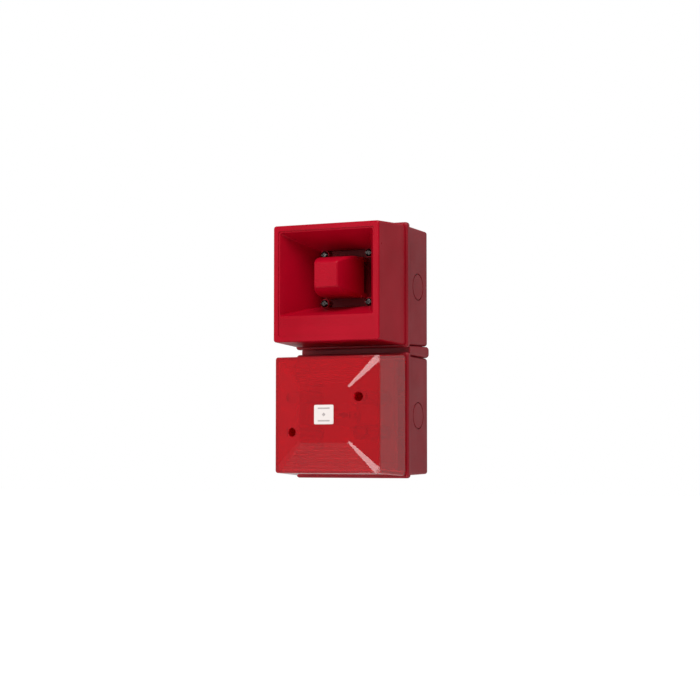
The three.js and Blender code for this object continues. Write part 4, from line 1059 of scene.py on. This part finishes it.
def clear(name, colour, roughness, ior, clearness=1.0, sheen=0.5):
    """Material of a clear or tinted piece with fine swirls left by moulding or drawing."""
    material, tree, shader = new_material(name)
    shader.inputs["Transmission Weight"].default_value = clearness
    shader.inputs["IOR"].default_value = ior
    shader.inputs["Specular IOR Level"].default_value = sheen
    place = object_place(tree)
    flow = node_in(tree, "TexNoise", Vector=place, Scale=45.0, Detail=2.0, Distortion=0.6).outputs["Fac"]
    body = mixed(tree, flow, rgba([part * 0.93 for part in colour]), rgba(colour))
    wide = node_in(tree, "MapRange", Value=flow, To_Min=roughness * 0.6, To_Max=roughness * 1.4)
    coat(tree, body, wide.outputs["Result"], flow, 0.08, SWIRL_RELIEF)
    return material


tube_glass = clear("tube_glass", GLASS_TINT, 0.03, GLASS_INDEX)
settle(flash_tube(), tube_glass, "tube_glass", "flash_tube")

# ---- Lens ----
# The beacon's cover, moulded in clear red plastic: a raised flat between four sloping facets.
# Level steps inside the upper and lower facets and fine flutes inside the sides spread the
# flash. Four pillars stand inside, two of them open wells with a screw at the bottom.
LENS_TINT = (0.90, 0.004, 0.020)
LENS_INDEX = 1.585
LENS_CLEARNESS = 0.7
LENS_SHEEN = 0.2
LENS_DRAFT = 2.5 * MM
LENS_WALL = 2.5 * MM
LENS_FLAT = 45 * MM
LENS_CROWN = 5.6 * MM
HIP_AT_CORNER = 4.2 * MM
HIP_AT_FLAT = 1.4 * MM
FACET_STEPS = 7
WELL_DIAMETER = 12.4 * MM
WELL_BORE = 7.4 * MM
WELL_FLOOR = 2.5 * MM
WELL_REAR = 2.5 * MM
FLUTE_DEPTH = 0.35 * MM
FLUTE_LENGTH = 13 * MM
FLUTE_COUNT = 36
STRIP_SLACK = 0.1 * MM
STEP_TREAD = 0.82
STEP_LEAN = 0.05 * MM
LENS_CORNER_STEPS = 12
LENS_EASE_STEPS = 10
LENS_SHARP = math.radians(8.5)

lens_low, lens_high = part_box("beacon_lens")
lens_flat_y = lens_low.y
lens_corner_y = lens_flat_y + LENS_CROWN
lens_half = lens_high.x - LENS_DRAFT
flat_half = LENS_FLAT / 2
well_rear = lens_high.y - WELL_REAR
flute_front = lens_corner_y + LENS_WALL + EDGE_RADIUS
flute_rear = flute_front + FLUTE_LENGTH


def chamfer_hips(piece):
    """Cuts a flat along each of the four hips, wide at the lens's corner and narrow at its flat."""
    corner = lens_half - EDGE_RADIUS / 2
    for side_x, side_z in ((1, 1), (-1, 1), (-1, -1), (1, -1)):
        at_flat = Vector((side_x * flat_half, lens_flat_y, side_z * (flat_half - HIP_AT_FLAT)))
        other = Vector((side_x * (flat_half - HIP_AT_FLAT), lens_flat_y, side_z * flat_half))
        at_corner = Vector((side_x * corner, lens_corner_y, side_z * (corner - HIP_AT_CORNER)))
        normal = (other - at_flat).cross(at_corner - at_flat).normalized()
        if normal.y > 0:
            normal.negate()
        place = at_flat + Vector((0, 0, beacon_middle)) + normal * lens_half
        turn = normal.to_track_quat("Z", "Y").to_euler()
        bpy.ops.mesh.primitive_cube_add(size=2 * lens_half, location=place, rotation=turn)
        cut_away(piece, made_piece("wedge"))


def lens_shell():
    """The lens drawn out from its flat back to its foot, then forwards again inside."""
    inner = neck_half - COVER_WALL
    side = lens_half - LENS_WALL
    front = lens_flat_y + LENS_WALL
    edge = lens_corner_y + LENS_WALL
    lean = LENS_DRAFT / (cover_rear - lens_corner_y)
    ease = EDGE_RADIUS / 2
    outside = [
        (lens_flat_y, flat_half),
        *quarter(lens_corner_y, lens_half - ease, lens_corner_y + ease, lens_half, "across", LENS_EASE_STEPS),
        (cover_rear, lens_high.x), (cover_rear, neck_half), (lens_high.y, neck_half),
        (lens_high.y, inner), (cover_rear, inner), (cover_rear, lens_high.x - LENS_WALL),
        (flute_rear, side + lean * (flute_rear - edge)),
        (flute_front, side + lean * (flute_front - edge)),
        (edge, side),
    ]
    sections = [(y, half, half, beacon_middle) for y, half in outside]
    for step in range(1, FACET_STEPS + 1):
        share = step / FACET_STEPS
        y = edge + (front - edge) * share
        half_x = side + (flat_half - side) * share
        riser = side + (flat_half - side) * (share - STEP_TREAD / FACET_STEPS)
        sections.append((y, half_x, riser, beacon_middle))
        if step < FACET_STEPS:
            sections.append((y + STEP_LEAN, half_x, half_x, beacon_middle))
    radius = flat_half * CORNER_RADIUS / lens_half
    shell = rectangular_form("beacon_lens_moulding", sections, radius, LENS_CORNER_STEPS)
    chamfer_hips(shell)
    return shell


def flute_sides(lens):
    """Divides the inner face of each side into strips and sinks every second one into the wall."""
    middle = (flute_front + flute_rear) / 2
    width = 2 * (lens_half - LENS_WALL - CORNER_RADIUS)
    pitch = width / (2 * FLUTE_COUNT + 1)
    select_only(lens)
    bpy.ops.object.mode_set(mode="EDIT")
    for axis, sign in ((0, -1), (0, 1), (2, -1), (2, 1)):
        across = 2 - axis
        origin = beacon_middle if across == 2 else 0

        def on_strip(face):
            return -sign * face.normal[axis] > SQUARE_ON and abs(face.center.y - middle) < STRIP_SLACK

        def on_flute(face):
            place = (face.center[across] - origin + width / 2) / pitch
            return on_strip(face) and 0 < place < 2 * FLUTE_COUNT + 1 and int(place) % 2 == 1
        first = origin - width / 2
        divide(lens, on_strip, across, [first + line * pitch for line in range(2 * FLUTE_COUNT + 2)])
        select_faces(lens, on_flute)
        step = [0, 0, 0]
        step[axis] = sign * FLUTE_DEPTH
        draw(step)
    bpy.ops.object.mode_set(mode="OBJECT")


def joined(pieces):
    """Several cutters as one."""
    select_only(*pieces)
    bpy.ops.object.join()
    return bpy.context.object


def beacon_lens():
    lens = lens_shell()
    radius = WELL_DIAMETER / 2
    stand = [(well_rear, radius), (lens_corner_y, radius)]
    add_on(lens, joined([round_form("pillar", x, z, stand) for x, z in wells]))
    bores = []
    for index, (x, z) in enumerate(wells):
        is_open = index % 2 == 0
        front = lens_flat_y - CUT_PAST if is_open else lens_corner_y + LENS_WALL
        rear = well_rear - WELL_FLOOR if is_open else well_rear + CUT_PAST
        sections = [(rear, WELL_BORE / 2), (front, WELL_BORE / 2)]
        if is_open:
            sections = [(well_rear + CUT_PAST, POST_BORE / 2), (rear, POST_BORE / 2), *sections]
        bores.append(round_form("bore", x, z, sections))
    cut_away(lens, joined(bores))
    flute_sides(lens)
    shade(lens, LENS_SHARP)
    return lens


lens_plastic = clear("lens_plastic", LENS_TINT, 0.04, LENS_INDEX, LENS_CLEARNESS, LENS_SHEEN)
settle(beacon_lens(), lens_plastic, "lens_plastic", "beacon_lens")

# ---- Label ----
# A small self-adhesive label in the middle of the lens's flat: die-cut off-white film, printed with
# two plain grey bars and a dot.
LABEL_WHITE = (0.86, 0.80, 0.77)
LABEL_SHADE = (0.80, 0.72, 0.69)
LABEL_INK = (0.22, 0.16, 0.16)
LABEL_RADIUS = 1 * MM
BAR_WIDTH = 10.5 * MM
BAR_HEIGHT = 1.1 * MM
BAR_RISE = 5 * MM
DOT_SIZE = 1.6 * MM
LABEL_EASE = 0.08 * MM


def label_material():
    material, tree, _ = new_material("label_paper")
    place = object_place(tree)
    centred = node_in(tree, "Mapping", Vector=place, Location=(0, 0, -beacon_middle)).outputs["Vector"]
    split = node_in(tree, "SeparateXYZ", Vector=centred)
    across = reckon(tree, "ABSOLUTE", split.outputs["X"])
    up = reckon(tree, "ABSOLUTE", split.outputs["Z"])
    off_bar = reckon(tree, "ABSOLUTE", reckon(tree, "SUBTRACT", up, BAR_RISE))
    level = reckon(tree, "LESS_THAN", off_bar, BAR_HEIGHT / 2)
    bar = reckon(tree, "MULTIPLY", level, reckon(tree, "LESS_THAN", across, BAR_WIDTH / 2))
    dot = reckon(tree, "LESS_THAN", reckon(tree, "ADD", across, up), DOT_SIZE)
    fibre = node_in(tree, "TexNoise", Vector=place, Scale=1800.0, Detail=3.0).outputs["Fac"]
    ink = node_in(tree, "MapRange", Value=fibre, From_Min=0.2, From_Max=0.8, To_Min=0.5, To_Max=0.8)
    inked = reckon(tree, "MULTIPLY", reckon(tree, "MAXIMUM", bar, dot), ink.outputs["Result"])
    paper = mixed(tree, fibre, rgba(LABEL_SHADE), rgba(LABEL_WHITE))
    rough = node_in(tree, "MapRange", Value=fibre, To_Min=0.45, To_Max=0.6).outputs["Result"]
    coat(tree, mixed(tree, inked, paper, rgba(LABEL_INK)), rough, fibre, 0.15, FINE_RELIEF)
    return material


label_low, label_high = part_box("lens_label")
label_half_x = label_high.x
label_half_z = (label_high.z - label_low.z) / 2
label = rectangular_form("lens_label_film", [
    (label_high.y, label_half_x, label_half_z, beacon_middle),
    (label_low.y + LABEL_EASE, label_half_x, label_half_z, beacon_middle),
    (label_low.y, label_half_x - LABEL_EASE, label_half_z - LABEL_EASE, beacon_middle),
], LABEL_RADIUS)
select_only(label)
bpy.ops.object.shade_smooth_by_angle(angle=SHARP)
settle(label, label_material(), "label_paper", "lens_label")

# ---- Driver ----
# Behind the throat, a plate with a tube up into the plug carries the compression driver: an amber
# film diaphragm in a rubber ring, a copper coil, a black frame, steel poles and a magnet. The plate's
# dark red is painted shade for the dim chamber behind the throat.
FILM = (0.55, 0.33, 0.1)
FILM_DARK = (0.38, 0.2, 0.05)
COPPER = (0.72, 0.3, 0.13)
COPPER_DARK = (0.4, 0.13, 0.05)
COPPER_BRIGHT = (0.9, 0.5, 0.3)
ZINC = (0.66, 0.65, 0.61)
ZINC_DARK = (0.36, 0.35, 0.33)
ZINC_BRIGHT = (0.8, 0.79, 0.75)
# Dark red painted on the driver plate as shade in the chamber behind the throat.
SHADED_PLATE_RED = (0.16, 0.001, 0.005)
SHADED_PLATE_RED_DEEP = (0.12, 0.0006, 0.004)
FERRITE = (0.035, 0.035, 0.037)
# Paler grey for random patches, for dust and for a painted highlight along the magnet's edges.
FERRITE_PALE = (0.09, 0.088, 0.085)


def paint_nodes(material, *nodes):
    """Gives CAD nodes that are shown as they are a material of their own."""
    for node in nodes:
        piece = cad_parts[node]
        piece.data.materials.clear()
        piece.data.materials.append(material)


plated_steel = metal("plated_steel", ZINC, ZINC_DARK, ZINC_BRIGHT, 0.3)
winding = metal("copper_winding", COPPER, COPPER_DARK, COPPER_BRIGHT, 0.28, 2400.0)
film = moulded("diaphragm_film", FILM, FILM_DARK, FILM, 0.35, 0.5 * MM, 0.2, dust=0.0)
black_plastic = moulded("black_plastic", NUT_BLACK, NUT_BLACK, NUT_GREY, 0.48, depth=0.2)
shaded_plate_plastic = moulded(
    "shaded_plate_plastic", SHADED_PLATE_RED, SHADED_PLATE_RED_DEEP, SHADED_PLATE_RED, 0.5, dust=0.0, sheen=HORN_SHEEN
)
ferrite = moulded("ferrite", FERRITE, FERRITE_PALE, FERRITE_PALE, 0.6, 0.15 * MM, 0.5, edges=0.9)

paint_nodes(shaded_plate_plastic, "driver_plate")
paint_nodes(gasket_rubber, "diaphragm_surround")
paint_nodes(film, "diaphragm")
paint_nodes(winding, "voice_coil", "sounder_inductor", "trigger_coil")
paint_nodes(black_plastic, "driver_frame", "tone_chip", "volume_trimmer_body")
paint_nodes(plated_steel, "driver_top_plate", "driver_yoke")
paint_nodes(ferrite, "driver_magnet")

# ---- Circuit boards and their parts ----
# A green glass-fibre board on four posts in each box, with a screw terminal block, and on the
# sounder's board five white sliders in a blue tone switch and a volume trimmer with a white rotor.
# A sheathed cable runs from one terminal block to the other through the coupler's bore.
RESIST = (0.014, 0.1, 0.035)
RESIST_TRACK = (0.03, 0.2, 0.07)
RESIST_PALE = (0.12, 0.28, 0.16)
TRACK_PITCH = 2.54 * MM
TRACK_SPREAD = 0.4
TERMINAL_GREEN = (0.03, 0.2, 0.07)
TERMINAL_DEEP = (0.02, 0.15, 0.05)
TERMINAL_PALE = (0.14, 0.36, 0.19)
SWITCH_BLUE = (0.02, 0.06, 0.3)
SWITCH_DEEP = (0.012, 0.04, 0.22)
SWITCH_PALE = (0.12, 0.2, 0.45)
SLEEVE = (0.012, 0.02, 0.075)
SLEEVE_DEEP = (0.008, 0.013, 0.05)
SLEEVE_PALE = (0.1, 0.12, 0.2)
TAPE = (0.6, 0.37, 0.04)
TAPE_DEEP = (0.5, 0.28, 0.025)
TAPE_PALE = (0.75, 0.58, 0.2)
SHEATH = (0.66, 0.65, 0.61)
SHEATH_DEEP = (0.55, 0.54, 0.5)
SHEATH_PALE = (0.78, 0.77, 0.74)


def board_material():
    """Green solder resist, paler where a copper track runs under it between the parts."""
    material, tree, _ = new_material("board")
    place = object_place(tree)
    cell = {"feature": "DISTANCE_TO_EDGE"}
    scale = TRACK_SPREAD / TRACK_PITCH
    lines = node_in(tree, "TexVoronoi", cell, Vector=place, Scale=scale).outputs["Distance"]
    track = node_in(tree, "MapRange", Value=lines, From_Min=0.05, From_Max=0.09, To_Min=1.0, To_Max=0.0)
    marks = place_group(tree, edge_and_dust_group, Edges=0.8, Dust=0.1)
    body = mixed(tree, track.outputs["Result"], rgba(RESIST), rgba(RESIST_TRACK))
    # The pale resist colour along the edge mask is a painted highlight.
    body = mixed(tree, marks.outputs["Edge Mask"], body, rgba(RESIST_PALE))
    rough = node_in(tree, "MapRange", Value=lines, To_Min=0.3, To_Max=0.45).outputs["Result"]
    coat(tree, body, rough, track.outputs["Result"], 0.2, FINE_RELIEF)
    return material


units = ("sounder", "beacon")
terminal_plastic = moulded("terminal_plastic", TERMINAL_GREEN, TERMINAL_DEEP, TERMINAL_PALE, 0.45)
switch_plastic = moulded("switch_plastic", SWITCH_BLUE, SWITCH_DEEP, SWITCH_PALE, 0.35)
sleeve = moulded("capacitor_sleeve", SLEEVE, SLEEVE_DEEP, SLEEVE_PALE, 0.3)
tape = moulded("transformer_tape", TAPE, TAPE_DEEP, TAPE_PALE, 0.35, 0.6 * MM, 0.15)
sheath = moulded("cable_sheath", SHEATH, SHEATH_DEEP, SHEATH_PALE, 0.5, 0.5 * MM, 0.1)

paint_nodes(board_material(), *[unit + "_pcb" for unit in units])
paint_nodes(terminal_plastic, *[unit + "_terminal_block" for unit in units])
for unit in units:
    paint_nodes(plated_steel, *[f"{unit}_terminal_screw_{way}" for way in range(1, 5)])
paint_nodes(switch_plastic, "tone_switch_body")
paint_nodes(white_plastic, "volume_trimmer_rotor", *[f"tone_slider_{way}" for way in range(1, 6)])
paint_nodes(sleeve, "sounder_capacitor", "flash_capacitor")
paint_nodes(tape, "flash_transformer")
paint_nodes(sheath, "link_cable")
